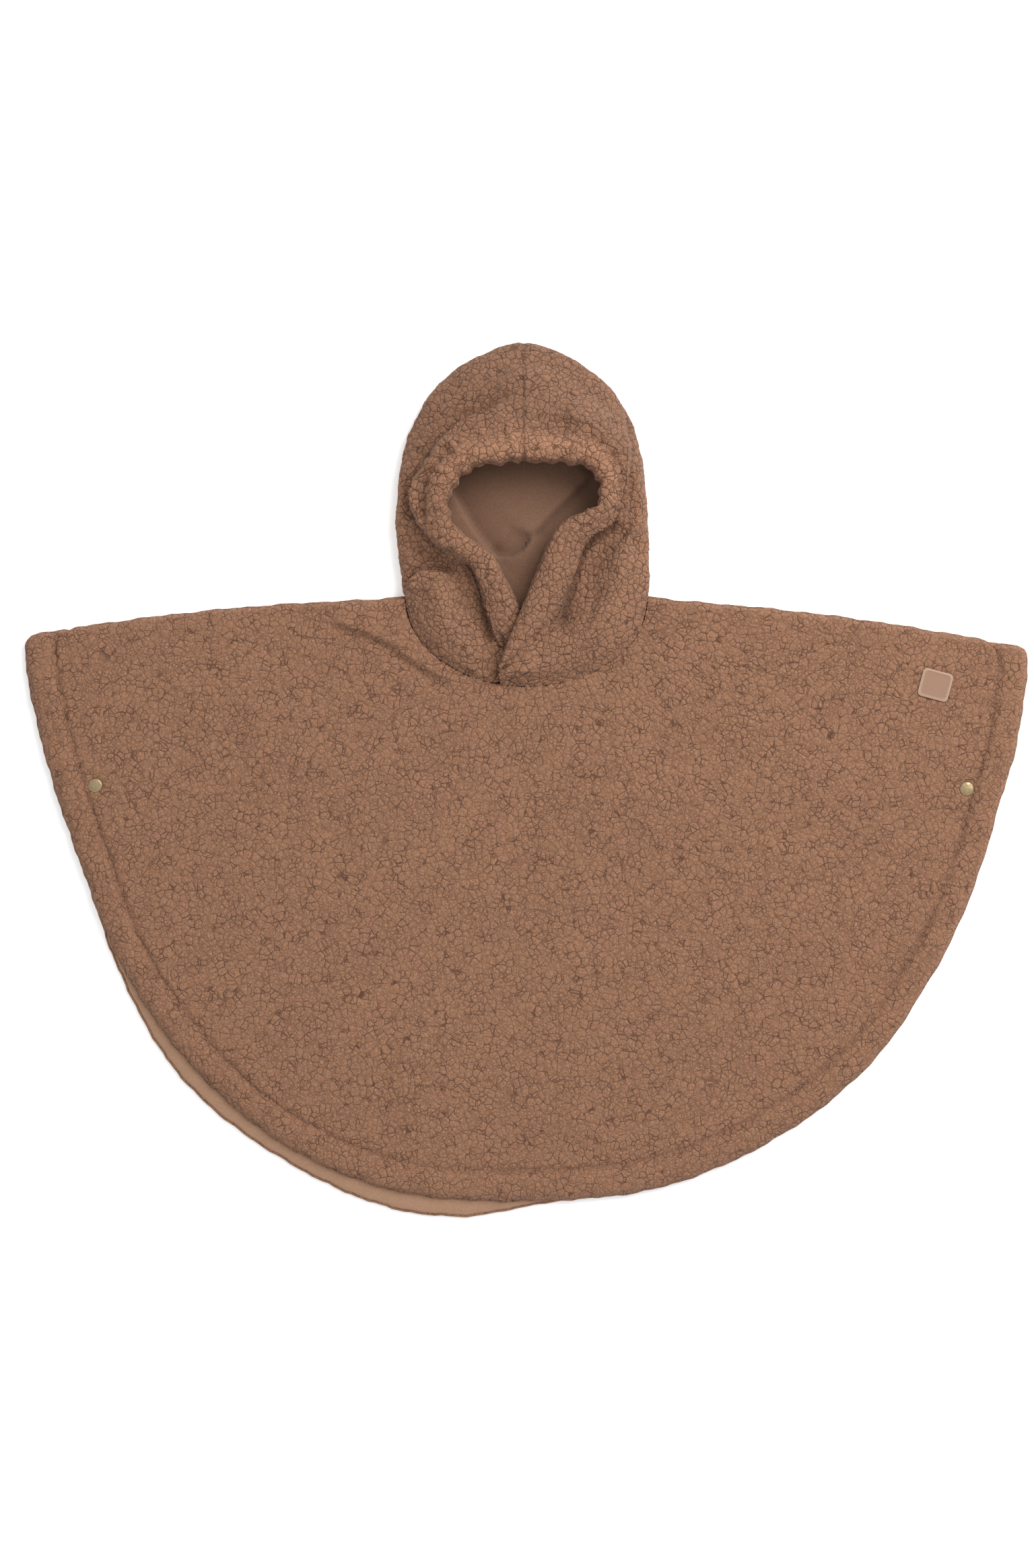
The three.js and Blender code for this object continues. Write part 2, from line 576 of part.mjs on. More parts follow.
// Distances of a section's points from its tip: the roll, the stitching, the fold and the turn
function hoodDistances(s) {
  const rollSteps = ROLL_STEPS.map((f) => s.roll * f);
  const [toStitch, fromStitch] = [s.band - STITCH_SIDES.before, s.band + STITCH_SIDES.after];
  const bandSteps = [mix(s.roll, s.band, BAND_STEP), toStitch, fromStitch];
  const fold = Math.max(s.band + FOLD_ROOM.band, Math.min(s.fold, s.lipEnd - FOLD_ROOM.turn));
  const [toFold, fromFold] = [fold - FOLD_SIDES.before, fold + FOLD_SIDES.after];
  const foldSteps = [mix(fromStitch, toFold, FOLD_STEP), toFold, fromFold];
  const outSteps = OUT_STEPS.map((f) => mix(fromFold, s.lipEnd, f));
  const turnSteps = TURN_STEPS.map((f) => s.lipEnd + s.turn * f);
  const steps = [...rollSteps, ...bandSteps, ...foldSteps, ...outSteps, ...turnSteps];
  const evenness = Math.min(1, Math.max(0, SHORT_SECTION / s.length - 1));
  return steps.map((d, i) => mix(d, (s.length * i) / (steps.length - 1), evenness));
}

// Where the underside of a section meets the centre back seam
function centreBack(t) {
  const share = Math.min(1, t / SHOULDER_ROW);
  const y = mix(CROWN_UNDER.y, NECK.shoulderY - NECK.backDip, share);
  return { x: CROWN_UNDER.x * (1 - share), y };
}

// The plain outer surface of one hood half as a grid, its relief, and the number of columns on top
function hoodGrid(rows, side, steps) {
  const underTurn = UNDER_TURN_STEPS.map((f) => (Math.PI / 2) * f);
  const half = (SEAM_GAP / 2) * side;
  const plain = [];
  const relief = [];
  for (const t of steps) {
    const s = hoodSection(rows, t);
    const toEdge = { x: (s.edgeX - s.tipX) / s.length, y: (s.edgeY - s.tipY) / s.length };
    const distances = hoodDistances(s);
    const seamShift = t === 0 ? half : 0;
    const top = distances.map((d) =>
      new THREE.Vector3(s.tipX + toEdge.x * d + seamShift, s.tipY + toEdge.y * d, hoodHeight(s, d)));
    const end = centreBack(t);
    const endX = end.x + half;
    const across = (share) => {
      const x = mix(s.edgeX + seamShift, endX, share);
      const rise = ((x - endX) / (s.edgeX + seamShift - endX || 1)) ** 2;
      return { x, y: t === 0 ? mix(s.edgeY, end.y, share) : mix(end.y, s.edgeY, rise) };
    };
    const reach = Math.hypot(s.edgeX - endX, s.edgeY - end.y);
    const turnShare = UNDER_TURN / reach;
    const skirt = new THREE.Vector3(s.edgeX, s.edgeY, COLLAR_BOTTOM);
    const under = t > SHOULDER_ROW
      ? [...UNDER_TURN_STEPS, ...UNDER_FLAT_STEPS].map(() => skirt.clone())
      : [
        ...underTurn.map((a) => {
          const p = across(turnShare * (1 - Math.cos(a)));
          return new THREE.Vector3(p.x, p.y, s.edgeZ * (1 - Math.sin(a)));
        }),
        ...UNDER_FLAT_STEPS.map((f) => {
          const p = across(mix(turnShare, 1, f));
          return new THREE.Vector3(p.x, p.y, 0);
        }),
      ];
    plain.push([...top, ...under]);
    relief.push([...distances.map((d, j) => hoodRelief(s, d, t, top[j])), ...under.map(() => 0)]);
  }
  return { plain, relief, topColumns: hoodDistances(hoodSection(rows, 0)).length };
}

// Outward normals of a grid: level on the underside, upright at the neck seam, and kept in the seam's
// plane on the crown seam and the centre back seam
function normalsOf(grid, side, last, topColumns) {
  const rows = grid.length;
  const raw = grid.map((line, i) => line.map((_, j) => {
    const end = last(i);
    if (j >= topColumns + UNDER_TURN_STEPS.length) return new THREE.Vector3(0, 0, -1);
    const before = grid[Math.max(0, i - 1)][j];
    const after = grid[i + 1 < rows && last(i + 1) >= j ? i + 1 : i][j];
    const left = line[Math.max(0, j - 1)];
    const right = line[Math.min(end, j + 1)];
    const along = new THREE.Vector3().subVectors(after, before);
    const across = new THREE.Vector3().subVectors(right, left);
    const normal = new THREE.Vector3().crossVectors(along, across).multiplyScalar(side);
    if (i === 0) normal.x = 0;
    const sewnDown = end === topColumns;
    if (sewnDown && j >= topColumns - 1) normal.z = 0;
    normal.normalize();
    if (sewnDown && j === topColumns - 1) normal.z = 1;
    return normal.normalize();
  }));
  return raw.map((line, i) => line.map((normal, j) => {
    if (i === 0 || i === rows - 1 || j === 0 || j >= topColumns) return normal;
    const beside = [raw[i - 1][j], raw[i + 1][j], line[j - 1], line[j + 1]];
    return beside.reduce((sum, n) => sum.add(n), normal.clone().multiplyScalar(2)).normalize();
  }));
}

// One layer of a hood half, between two depths below the plain outer surface
function hoodLayer(rows, side, upper, lower, firstColumn) {
  const lastRow = rows.length - 1;
  const lateCount = (lastRow - SHOULDER_ROW) * 2 - 2;
  const early = Array.from({ length: EARLY_SECTIONS }, (_, i) => (SHOULDER_ROW * i) / (EARLY_SECTIONS - 1));
  const late = Array.from({ length: lateCount }, (_, i) => mix(SHOULDER_ROW, lastRow, (i + 1) / lateCount));
  const steps = [...early, ...late];
  const { plain, relief, topColumns } = hoodGrid(rows, side, steps);
  const lastColumn = plain[0].length - 1;
  const last = (i) => (steps[i] > SHOULDER_ROW ? topColumns : lastColumn);
  const normals = normalsOf(plain, side, last, topColumns);
  const layer = (depth, reliefShare) => plain.map((line, i) => line.map((p, j) => {
    const raised = j > topColumns && depth > 0 ? foldHeight(NAPE_FOLDS, p.x, p.y) : 0;
    return p.clone().addScaledVector(normals[i][j], relief[i][j] * reliefShare - depth - raised);
  }));
  const keep = (i, j) => j >= firstColumn && (steps[i + 1] <= SHOULDER_ROW || j < topColumns);
  const outer = layer(upper, upper === 0 ? 1 : 0);
  const geometry = wall(steps.length, lastColumn + 1, keep, outer, layer(lower, 0));
  return side < 0 ? turnedInsideOut(geometry) : geometry;
}

// Press studs

const STUD_Z = studHeights();

function studHeights() {
  const capTop = FRONT_TOP - STUD.capSunk;
  const capBottom = capTop - STUD.capHeight;
  const discBottom = FRONT_BOTTOM + STUD.discAbove;
  return {
    capTop, capBottom, discBottom, discTop: discBottom + STUD.discHeight,
    backCapBottom: STUD.backCapBottom, backCapTop: STUD.backCapTop,
    backDiscBottom: BACK_TOP + STUD.play, backDiscTop: FRONT_BOTTOM,
  };
}

function turned(profile, x, y) {
  const points = profile.map(([radius, z]) => new THREE.Vector2(radius, z));
  return new THREE.LatheGeometry(points, LATHE_SEGMENTS).rotateX(Math.PI / 2).translate(x, y, 0);
}

// Cap, shank and socket of the front half; the socket's bore is open below
function studSocket({ x, y }) {
  const z = STUD_Z;
  const bore = STUD.knobRadius + STUD.play;
  return turned([
    [0, z.discTop - 0.3], [bore, z.discTop - 0.3], [bore, z.discBottom], [STUD.discRadius, z.discBottom],
    [STUD.discRadius, z.discTop], [STUD.shankRadius, z.discTop], [STUD.shankRadius, z.capBottom],
    [STUD.capRadius - 0.3, z.capBottom], [STUD.capRadius, z.capBottom + 0.4],
    [STUD.capRadius - 0.5, z.capTop - STUD.dome], [STUD.capRadius * 0.6, z.capTop - 0.2], [0, z.capTop],
  ], x, y);
}

// Cap, shank and knob of the back half
function studKnob({ x, y }) {
  const z = STUD_Z;
  return turned([
    [0, z.backCapBottom], [STUD.capRadius * 0.7, z.backCapBottom], [STUD.capRadius, z.backCapBottom + 0.6],
    [STUD.capRadius, z.backCapTop], [STUD.shankRadius, z.backCapTop], [STUD.shankRadius, z.backDiscBottom],
    [STUD.discRadius, z.backDiscBottom], [STUD.discRadius, z.backDiscTop], [STUD.knobRadius, z.backDiscTop],
    [STUD.knobRadius * 0.9, z.discTop - 0.65], [0, z.discTop - 0.65],
  ], x, y);
}

// Label

function label() {
  const { width, length, corner } = LABEL;
  const shape = new THREE.Shape();
  const [w, l] = [width / 2, length / 2];
  shape.moveTo(-w + corner, -l);
  shape.lineTo(w - corner, -l);
  shape.absarc(w - corner, -l + corner, corner, -Math.PI / 2, 0);
  shape.absarc(w - corner, l - corner, corner, 0, Math.PI / 2);
  shape.absarc(-w + corner, l - corner, corner, Math.PI / 2, Math.PI);
  shape.absarc(-w + corner, -l + corner, corner, Math.PI, 1.5 * Math.PI);
  return new THREE.ExtrudeGeometry(shape, { depth: LABEL.thickness, bevelEnabled: false, curveSegments: 4 })
    .rotateZ(radians(LABEL.turnDeg))
    .translate(LABEL.x, LABEL.y, FRONT_TOP + SEAM_GAP);
}

// The garment

const poncho = new THREE.Group();

function add(name, geometry, color, roughness, metalness = 0) {
  const mesh = new THREE.Mesh(geometry, new THREE.MeshStandardMaterial({ color, roughness, metalness }));
  mesh.name = name;
  poncho.add(mesh);
}

const hoodShell = (rows, side) => hoodLayer(rows, side, 0, SHELL, 0);
const hoodLining = (rows, side) => hoodLayer(rows, side, SHELL + SEAM_GAP, SHELL + SEAM_GAP + LINING, 1);

add("back_panel", backPanel(), PILE_BROWN, 0.95);
add("back_lining", backLining(), LINING_BROWN, 0.9);
add("front_panel", frontPanel(), PILE_BROWN, 0.95);
add("hood_left", hoodShell(HOOD_LEFT, -1), PILE_BROWN, 0.95);
add("hood_right", hoodShell(HOOD_RIGHT, 1), PILE_BROWN, 0.95);
add("hood_lining_left", hoodLining(HOOD_LEFT, -1), LINING_BROWN, 0.9);
add("hood_lining_right", hoodLining(HOOD_RIGHT, 1), LINING_BROWN, 0.9);
for (const stud of STUDS) {
  add(`stud_socket_${stud.name}`, studSocket(stud), SNAP_BEIGE, 0.4, 0.6);
  add(`stud_knob_${stud.name}`, studKnob(stud), SNAP_BEIGE, 0.4, 0.6);
}
add("label", label(), LABEL_TAN, 0.8);

export default poncho;
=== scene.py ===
"""Hooded pile-fleece poncho for a toddler, laid flat with its front up.

Lengths in this file are millimetres in the object's own frame (+X across, +Y towards the hood, +Z up)
and become metres when a mesh is made. Cloth pieces follow the same sections as their solids, with the
pile raised on them by one pattern that the material shares.
"""
import math
from types import SimpleNamespace

import bpy
import numpy as np
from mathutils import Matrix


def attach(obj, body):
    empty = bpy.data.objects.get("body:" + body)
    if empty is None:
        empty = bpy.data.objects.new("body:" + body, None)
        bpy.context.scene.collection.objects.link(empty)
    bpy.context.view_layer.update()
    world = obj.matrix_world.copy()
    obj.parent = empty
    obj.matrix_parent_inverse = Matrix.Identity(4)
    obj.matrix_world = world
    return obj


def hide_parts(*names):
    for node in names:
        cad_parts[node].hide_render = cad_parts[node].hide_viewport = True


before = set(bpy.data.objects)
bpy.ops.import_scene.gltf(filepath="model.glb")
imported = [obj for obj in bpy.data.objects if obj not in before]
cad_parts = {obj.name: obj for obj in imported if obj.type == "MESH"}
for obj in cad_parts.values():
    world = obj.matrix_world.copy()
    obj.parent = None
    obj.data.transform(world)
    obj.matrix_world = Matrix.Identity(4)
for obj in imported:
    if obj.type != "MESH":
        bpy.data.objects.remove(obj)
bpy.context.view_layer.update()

MM = 0.001

# Cloth layers
SHELL = 4.5
LINING = 1.5
SEAM_GAP = 0.3
HOOD_SEAM_GAP = 0.1
LINING_SEAM_GAP = 0.015
PANEL_GAP = 0.3
NECK_CLEARANCE = 0.15
PANEL_THICKNESS = 6
BACK_TOP = SHELL
BACK_LINING_TOP = BACK_TOP + SEAM_GAP + LINING
FRONT_BOTTOM = BACK_LINING_TOP + PANEL_GAP
FRONT_TOP = FRONT_BOTTOM + PANEL_THICKNESS
COLLAR_BOTTOM = FRONT_BOTTOM + 0.3

# Body outline
HUB = (0, 152)
WING_CORNER_LEFT, WING_CORNER_RIGHT = 14, 8
SHOULDER_BOW = 5.5
SHOULDER_FADE_DEG = 9
LEFT_WING_DEG = 3.2
RIGHT_WING_DEG = 175.3
NECK_HALF_WIDTH = 106
NECK_SHOULDER_Y = 158
NECK_FRONT_DEPTH = 77
NECK_BACK_DIP = 11
HEM_WIDTH = 24
HEM_WAVE = 0.9
SHOULDER_PINCH = 2.2
HEM_PUFF = 2.0
STITCH_DEPTH = 2.5
STITCH_SPREAD = 2.5
HEM_SEAM_SHADE = 0.24
NECK_SEAM_SHADE = 0.1
EDGE_ROUND = 4.5
EDGE_LEAST = 0.16
NECK_ROUND = 5
NECK_SINK = 0.6
NECK_MEET = 11.8
PILE_INSET = 1.8
BACK_INSET = 2.6
BACK_LINING_INSET = 1.4
PANEL_RIM, LINING_RIM = 0.4, 0.2
FLAT_INSET = 2.4
RELIEF_ROUND = 1.4 * EDGE_ROUND


def table(columns, rows):
    """A small table as one array for each named column."""
    values = np.array(rows, float).T
    return dict(zip(columns.split(), values))


HEM = table("angle front back", [
    [0, 441, 438],
    [6, 440.5, 437],
    [18, 441, 437],
    [30, 450.5, 448],
    [42, 474.5, 479],
    [54, 498, 512],
    [66, 517.5, 529],
    [78, 525, 540.5],
    [84, 523, 537.5],
    [90, 521, 526],
    [96, 521.5, 518],
    [102, 522.5, 517],
    [114, 515.5, 511],
    [126, 502.5, 498],
    [138, 479.5, 475],
    [150, 459, 455],
    [156, 449.5, 446.5],
    [162, 446.5, 442],
    [174, 441, 437],
    [180, 440, 436],
])

# Soft troughs and ridges: two ends, the half width and the height of each
FOLD_COLUMNS = "x0 y0 x1 y1 spread height"
FRONT_FOLDS = table(FOLD_COLUMNS, [
    [-150, 146, -92, 118, 12, 1.0],
    [112, 140, 70, 92, 9, -1.2],
    [150, 30, 300, -70, 26, -1.0],
    [60, 20, 250, -110, 30, 1.1],
    [-330, 60, -180, -40, 30, -0.9],
    [-120, -250, 60, -150, 34, 0.9],
])

# Hood sections from the crown seam round to the front of the neck, as on the solids
HOOD_COLUMNS = "tipX tipY edgeX edgeY tipZ rimZ band humpZ fold lip lowZ midZ turnZ turn edgeZ"
HOOD_LEFT = table(HOOD_COLUMNS, [
    [-1, 275.5, -4, 382, 30, 50, 26, 49, 53, 2, 38, 33, 24, 18, 10],
    [-14, 274.5, -42, 370, 30, 50, 26, 49, 49, 4, 34, 29, 23, 17, 10],
    [-34, 273, -76, 346, 29, 49, 25, 46, 42, 5, 30, 26, 22, 16, 10],
    [-48, 268.8, -96, 317, 28, 47, 23, 43, 36, 5, 27, 24, 21, 15, 10],
    [-59, 258, -107, 287, 26, 45, 24, 39, 36, 5, 26, 24, 21, 13, 10],
    [-66, 246, -112, 257, 23, 43, 27, 34, 35, 4, 26, 24, 22, 11, 10],
    [-67, 230, -114, 227, 20, 42, 26, 32, 33, 4, 24, 22, 20, 12, 10],
    [-55, 214, -112, 197, 18, 40, 27, 31, 32, 5, 20, 20, 19, 15, 10],
    [-38, 202, -109, 175, 17, 38, 25, 30, 29, 5, 20, 20, 18, 16, 10],
    [-27, 192, -106, 158, 16, 36, 22, 28, 26, 5, 20, 28, 21, 17, 11],
    [-19, 177, -98.3, 129.2, 14, 33, 24, 26, 28, 6, 19, 29, 21, 18, 12],
    [-12, 164, -78.8, 106.5, 12, 28, 26, 22, 30, 5, 17, 26, 20, 17, 12],
    [-5, 150, -49.8, 90, 10, 21, 32, 17, 36, 3, 16, 20, 18, 16, 12],
    [2, 138, -33.5, 85.2, 9, 15.5, 26, 14, 32, 1, 15, 15.5, 15, 12, 11],
    [5, 131, -27.5, 84.8, 9, 15, 20, 14, 28, 0, 13.5, 13.5, 13.5, 12, 11],
    [12, 120, -6, 91, 8.5, 14, 12, 13.5, 18, 0, 13, 13, 13, 10, 10.5],
    [15, 108, 10, 91, 8.5, 13.5, 8, 13, 10, 0, 12.5, 12.5, 12.5, 7, 10],
])
HOOD_RIGHT = table(HOOD_COLUMNS, [
    [-1, 275.5, -4, 382, 30, 50, 26, 49, 53, 2, 38, 33, 24, 18, 10],
    [19, 274.5, 36, 370, 30, 50, 26, 42, 44, 0, 40, 33, 24, 17, 10],
    [38, 273.8, 69, 346, 31, 50, 25, 46, 40, 1, 38, 31, 24, 16, 10],
    [53, 269.8, 90, 317, 31, 50, 22, 45, 32, 2, 37, 31, 25, 14, 10],
    [62, 259, 99, 288, 30, 48, 20, 42, 27, 3, 36, 32, 26, 12, 10],
    [63, 247, 104, 257, 29, 46, 19, 39, 26, 3, 34, 31, 26, 11, 10],
    [60, 237, 106, 228, 28, 45, 19, 37, 26, 3, 31, 30, 25, 12, 10],
    [47, 231, 107, 200, 27, 43, 22, 35, 27, 4, 27, 30, 23, 15, 10],
    [34, 225, 107.5, 177, 26, 42, 24, 33, 27, 6, 23, 31, 22, 17, 10],
    [24, 215, 106, 158, 26, 40, 26, 31, 30, 6, 22, 31, 21, 18, 11],
    [18, 204, 98.3, 129.2, 25, 38, 30, 31, 34, 6, 22, 30, 20, 18, 12],
    [12.6, 191, 78.8, 106.5, 24, 36, 32, 30, 36, 6, 22, 29, 20, 18, 12],
    [6, 175, 49.8, 90, 23, 34, 35, 29, 41, 4, 24, 26, 21, 18, 12],
    [-1, 157, 22, 82.7, 22, 32, 32, 28, 40, 2, 25, 25, 22, 17, 12],
    [-9, 138, 3, 81.1, 22, 30, 26, 28, 33, 0, 26, 25, 23, 15, 12],
    [-18, 116, -12, 81.6, 21, 28, 16, 27, 20, 0, 26, 25, 24, 12, 12],
    [-24, 99, -22.5, 82.8, 21, 27, 8, 26, 10, 0, 25, 25, 24, 8, 12],
])
SHOULDER_ROW = 9
CROWN_UNDER_Y = 362
UNDER_TURN = 14
BAND_PUFF = 2.4
HOOD_STITCH_DEPTH = 1.8
CASING_STEP, CASING_FALL = 2.6, 13
HOOD_SEAM_SHADE = 0.25
CROWN_X = -2.5
CROWN_SEAM_DEPTH, CROWN_SEAM_SPREAD, CROWN_SEAM_SHADE = 1.0, 2, 0.45
CROWN_COVER, CROWN_COVER_REACH = 0.15, 4
COVER_HEIGHT = 5
LINING_SETBACK = 3
# Painted shade in the valley beyond the hood's casing and painted light on the casing, with where each comes
# in
VALLEY_SHADE, VALLEY_START, VALLEY_Y = 0.14, (2, 12), (258, 292)
PROUD_LIGHT, PROUD_Y = 0.24, (236, 262)
DEEPEST_RELIEF = 4.1
TURN_PER_DROP = 1.2
HUMP_SETBACK = 4
FOLD_RUN = 13
SECTION = SimpleNamespace(
    turn_of_length=0.45, band_of_top=0.6, roll_of_band=0.13, roll_of_length=0.35, hump_to_turn=2,
    low_past_fold=8, low_to_turn=4, low_to_end=12, run_out=20, run_out_drop=5, tip_fade=6, edge_fade=8,
    puff_at=0.48, puff_spread=0.36)
LIP_REACH = 12
LIP_SHARE = 0.6

# Creases of the hood's outer cloth, each along a line of places: on its left hand the cloth stands out by
# rise, on its right hand it sinks by drop, and both die away over their reach. Where dark is given, that
# share of painted shade lies along the crease's bottom
CREASE_EASE = 1.5
CREASE_END_SHARE = 0.14
# Painted shade along crease bottoms: how it eases off at the ends, how far it sits in from the line, and its
# spread
DARK_END_SHARE = 0.2
DARK_SETBACK, DARK_SPREAD = 1.5, 2.6
CREASE_STRENGTH = 1.5
LOWEST_HOOD = 13.6


def crease(rise, reach, drop, fall, line, ease=CREASE_EASE, dark=0):
    return SimpleNamespace(rise=rise, reach=reach, drop=drop, fall=fall, line=line, ease=ease, dark=dark)


HOOD_CREASES = {
    "left layer over the side": crease(rise=4, reach=13, drop=4, fall=8, dark=0.3, line=[
        (-6, 334), (-27, 325), (-44, 316), (-60, 310), (-71, 299), (-82, 281), (-95, 263), (-104, 252),
        (-102, 241), (-94, 223), (-87, 213), (-78, 203), (-65, 201), (-50, 188)]),
    "between the left puffs": crease(rise=-2.4, reach=5, drop=2.4, fall=5, line=[
        (-67, 293), (-78, 276), (-85, 262), (-92, 247), (-92, 230), (-87, 215)]),
    "left throat": crease(rise=2.0, reach=8, drop=5.5, fall=6, ease=1, dark=0.8, line=[
        (-55, 195), (-47, 183), (-40, 171), (-37, 152), (-32, 136), (-30, 115)]),
    "left pouch": crease(rise=4.5, reach=13, drop=3, fall=6, ease=0.9, dark=0.35, line=[
        (-62, 178), (-78, 183), (-94, 182), (-104, 173), (-106, 162)]),
    "right layer over the side": crease(rise=2.6, reach=10, drop=4, fall=7, dark=0.3, line=[
        (89, 228), (90, 260), (91, 288), (87, 310), (84, 328)]),
    "right puff": crease(rise=3, reach=9, drop=-3, fall=9, line=[
        (30, 317), (54, 310), (72, 294), (81, 280), (84, 262)]),
    "right throat": crease(rise=3.0, reach=8, drop=8, fall=6, ease=1, dark=0.9, line=[
        (24, 124), (30, 136), (36, 156), (42, 176), (47, 196), (54, 207), (64, 213), (73, 218), (79, 232)]),
    "right side": crease(rise=-2.5, reach=7, drop=2.5, fall=7, line=[
        (80, 183), (61, 161), (55, 146), (52, 127)]),
    "right groove by the roll": crease(rise=-1.8, reach=4, drop=1.8, fall=4, line=[
        (101, 255), (94, 237), (88, 218), (82, 200)]),
    "crown ridge": crease(rise=1.0, reach=7, drop=-1.0, fall=7, line=[
        (19, 360), (17, 340), (18, 318), (16, 300)]),
    "beside the crown seam": crease(rise=-1.2, reach=6, drop=1.2, fall=9, line=[
        (-22, 336), (-12, 322), (-3, 310)]),
}

FRONT_CREASES = {
    "left of the collar": crease(rise=2.4, reach=13, drop=2.8, fall=13, ease=4, line=[
        (-178, 139), (-163, 134), (-144, 128), (-125, 120), (-104, 105), (-80, 90), (-62, 80)]),
    "right of the collar": crease(rise=-0.9, reach=9, drop=-0.9, fall=9, line=[
        (96, 110), (112, 126), (130, 137), (152, 143)]),
}

# Folds of the lining that lies at the bottom of the hollow
INNER_CREASES = {
    "left flap": crease(rise=-3.0, reach=14, drop=-3.6, fall=20, ease=2.5, line=[
        (-68, 262), (-61, 247), (-53, 232), (-45, 218), (-35, 205), (-25, 194)]),
    "nape fold": crease(rise=-3.2, reach=9, drop=-3.2, fall=12, ease=2.5, line=[
        (-33, 204), (-25, 195.5), (-14, 195), (-3, 201), (3, 209), (6, 217)]),
    "right hollow": crease(rise=-2.4, reach=14, drop=-2.8, fall=22, ease=4, line=[
        (62, 268), (48, 256), (30, 238), (12, 219), (-3, 204)]),
}
INNER_BASE = 3
INNER_RANGE = (-2.5, 8)

# The hollow behind the face opening: inside this line lies the back of the hood, outside it the lining
# comes up towards the rolled edge
HOLLOW_LINE = [
    (-66, 262), (-60, 247), (-45, 218), (-28, 197), (-14, 193), (-2, 204), (20, 229), (48, 256), (64, 270)]
HOLLOW_LEFT, HOLLOW_RIGHT = 2.5, 1.5
HOLLOW_REACH = 7
HOLLOW_CHANGE = (0.35, 0.75)
HOLLOW_SIDES, HOLLOW_CROWN, HOLLOW_NAPE, NAPE_SHARE = (88, 66), (345, 310), (160, 200), 0.3
# Painted shade on the hood's lining: beside its left flap, right hollow and nape fold, under the top rim, and
# the most there is
LEFT_SHADE, RIGHT_SHADE, NAPE_SHADE, TOP_SHADE = 0.34, 0.3, 0.35, 0.22
TOP_SHADE_Y = (222, 262)
DEEPEST_SHADE = 0.75

# Gathers along the hood's face edge: distance between puckers, and where they die out
GATHER_PITCH = 12.5
GATHER_HEIGHT = 1.7
GATHER_REACH = 8
GATHER_DRIFT = 0.12
OUTER_GATHERS = SimpleNamespace(height=0.35, beyond_band=17, spread=12)
RIM_GATHERS = SimpleNamespace(height=0.5, of_band=0.35, spread=7)
RIM_RIPPLE = 2.0
RIM_RIPPLE_REACH, OUTLINE_REACH = 9, 12
GATHER_END = 8
GATHER_FADE = 2
LAST_STITCHED_ROW = 14.5
STITCH_PITCH = 4.2
STITCH_LIFT = 0.15

# Press studs and label
STUDS = {"left": (-377, -5.5), "right": (385, -8.5)}
CAP_RADIUS = 6.2
CAP_TOP = FRONT_TOP - 0.4
CAP_BOTTOM = CAP_TOP - 1.7
CAP_WELL_INSIDE, CAP_WELL_OUTSIDE, CAP_WELL_DEPTH = 0.4, 2.2, 0.2
LABEL_PRESS, LABEL_PRESS_REACH = 0.6, 4
LABEL_CENTRE = (357.3, 82.5)
LABEL_SIZE = (27, 25)
LABEL_TURN = math.radians(-15)
LABEL_CORNER = 3.6

# Mesh fineness. The edge steps are shares of the way from the neck to the hem
EDGE_STEPS = [0.996, 0.998, 0.9992, 1]
FRONT_SECTIONS = 556
FRONT_STEPS = 160
BACK_SECTIONS = 380
BACK_STEPS = 110
LINING_SECTIONS = 300
LINING_STEPS = 60
SHELL_FINENESS = SimpleNamespace(early=176, late=76, top=84, turn=8, flat=26)
SHARP_DEG = 50
CALMING_ROUNDS = 3
LINING_FINENESS = SimpleNamespace(early=110, late=44, top=52, turn=6, flat=36)


# Curves and small maths

def hermite(a, b, start_slope, end_slope, f):
    f2, f3 = f * f, f * f * f
    return (a * (2 * f3 - 3 * f2 + 1) + start_slope * (f3 - 2 * f2 + f)
            + b * (3 * f2 - 2 * f3) + end_slope * (f3 - f2))


def curve_through(xs, ys, x):
    """A smooth curve through points with rising x, at the values x."""
    xs, ys = np.asarray(xs, float), np.asarray(ys, float)
    slopes = np.diff(ys) / np.diff(xs)
    tangents = np.concatenate([slopes[:1], (slopes[1:] + slopes[:-1]) / 2, slopes[-1:]])
    i = np.clip(np.searchsorted(xs, x) - 1, 0, len(xs) - 2)
    step = xs[i + 1] - xs[i]
    f = np.clip((x - xs[i]) / step, 0, 1)
    return hermite(ys[i], ys[i + 1], tangents[i] * step, tangents[i + 1] * step, f)


def column(rows, name, t):
    """One column of a hood table at a fractional row number."""
    values = rows[name]
    last = len(values) - 1
    i = min(last - 1, max(0, int(t)))
    before, a, b, after = (values[min(last, max(0, k))] for k in (i - 1, i, i + 1, i + 2))
    start = (b - before) / 2 if i > 0 else (b - a if name.endswith("X") else 0)
    return hermite(a, b, start, (after - a) / 2, t - i)


def bell(distance, spread):
    return np.exp(-((distance / spread) ** 2))


def mix(a, b, f):
    return a + (b - a) * f


def smooth(low, high, x):
    f = np.clip((x - low) / (high - low), 0, 1)
    return f * f * (3 - 2 * f)


def fading(distance, reach):
    """1 up to distance 0, then dying away over the reach."""
    return np.exp(-np.maximum(0, distance) / reach)


def both_ends(along, share):
    """1 along a line, easing to 0 over a share of it at both ends."""
    return smooth(0, share, along) * smooth(0, share, 1 - along)


def wobble(x, seed):
    """A smooth irregular wave between about -1 and 1, the same at every run."""
    quick, slow = np.sin(x * 2.31 + seed * 1.7), np.sin(x * 0.53 + seed * 2.9)
    return (np.sin(x + seed) + quick * 0.6 + slow * 0.8) / 2.4


def turned(x, y, angle):
    return x * math.cos(angle) - y * math.sin(angle), x * math.sin(angle) + y * math.cos(angle)


def unit(vectors):
    return vectors / np.maximum(1e-9, np.linalg.norm(vectors, axis=-1))[..., None]


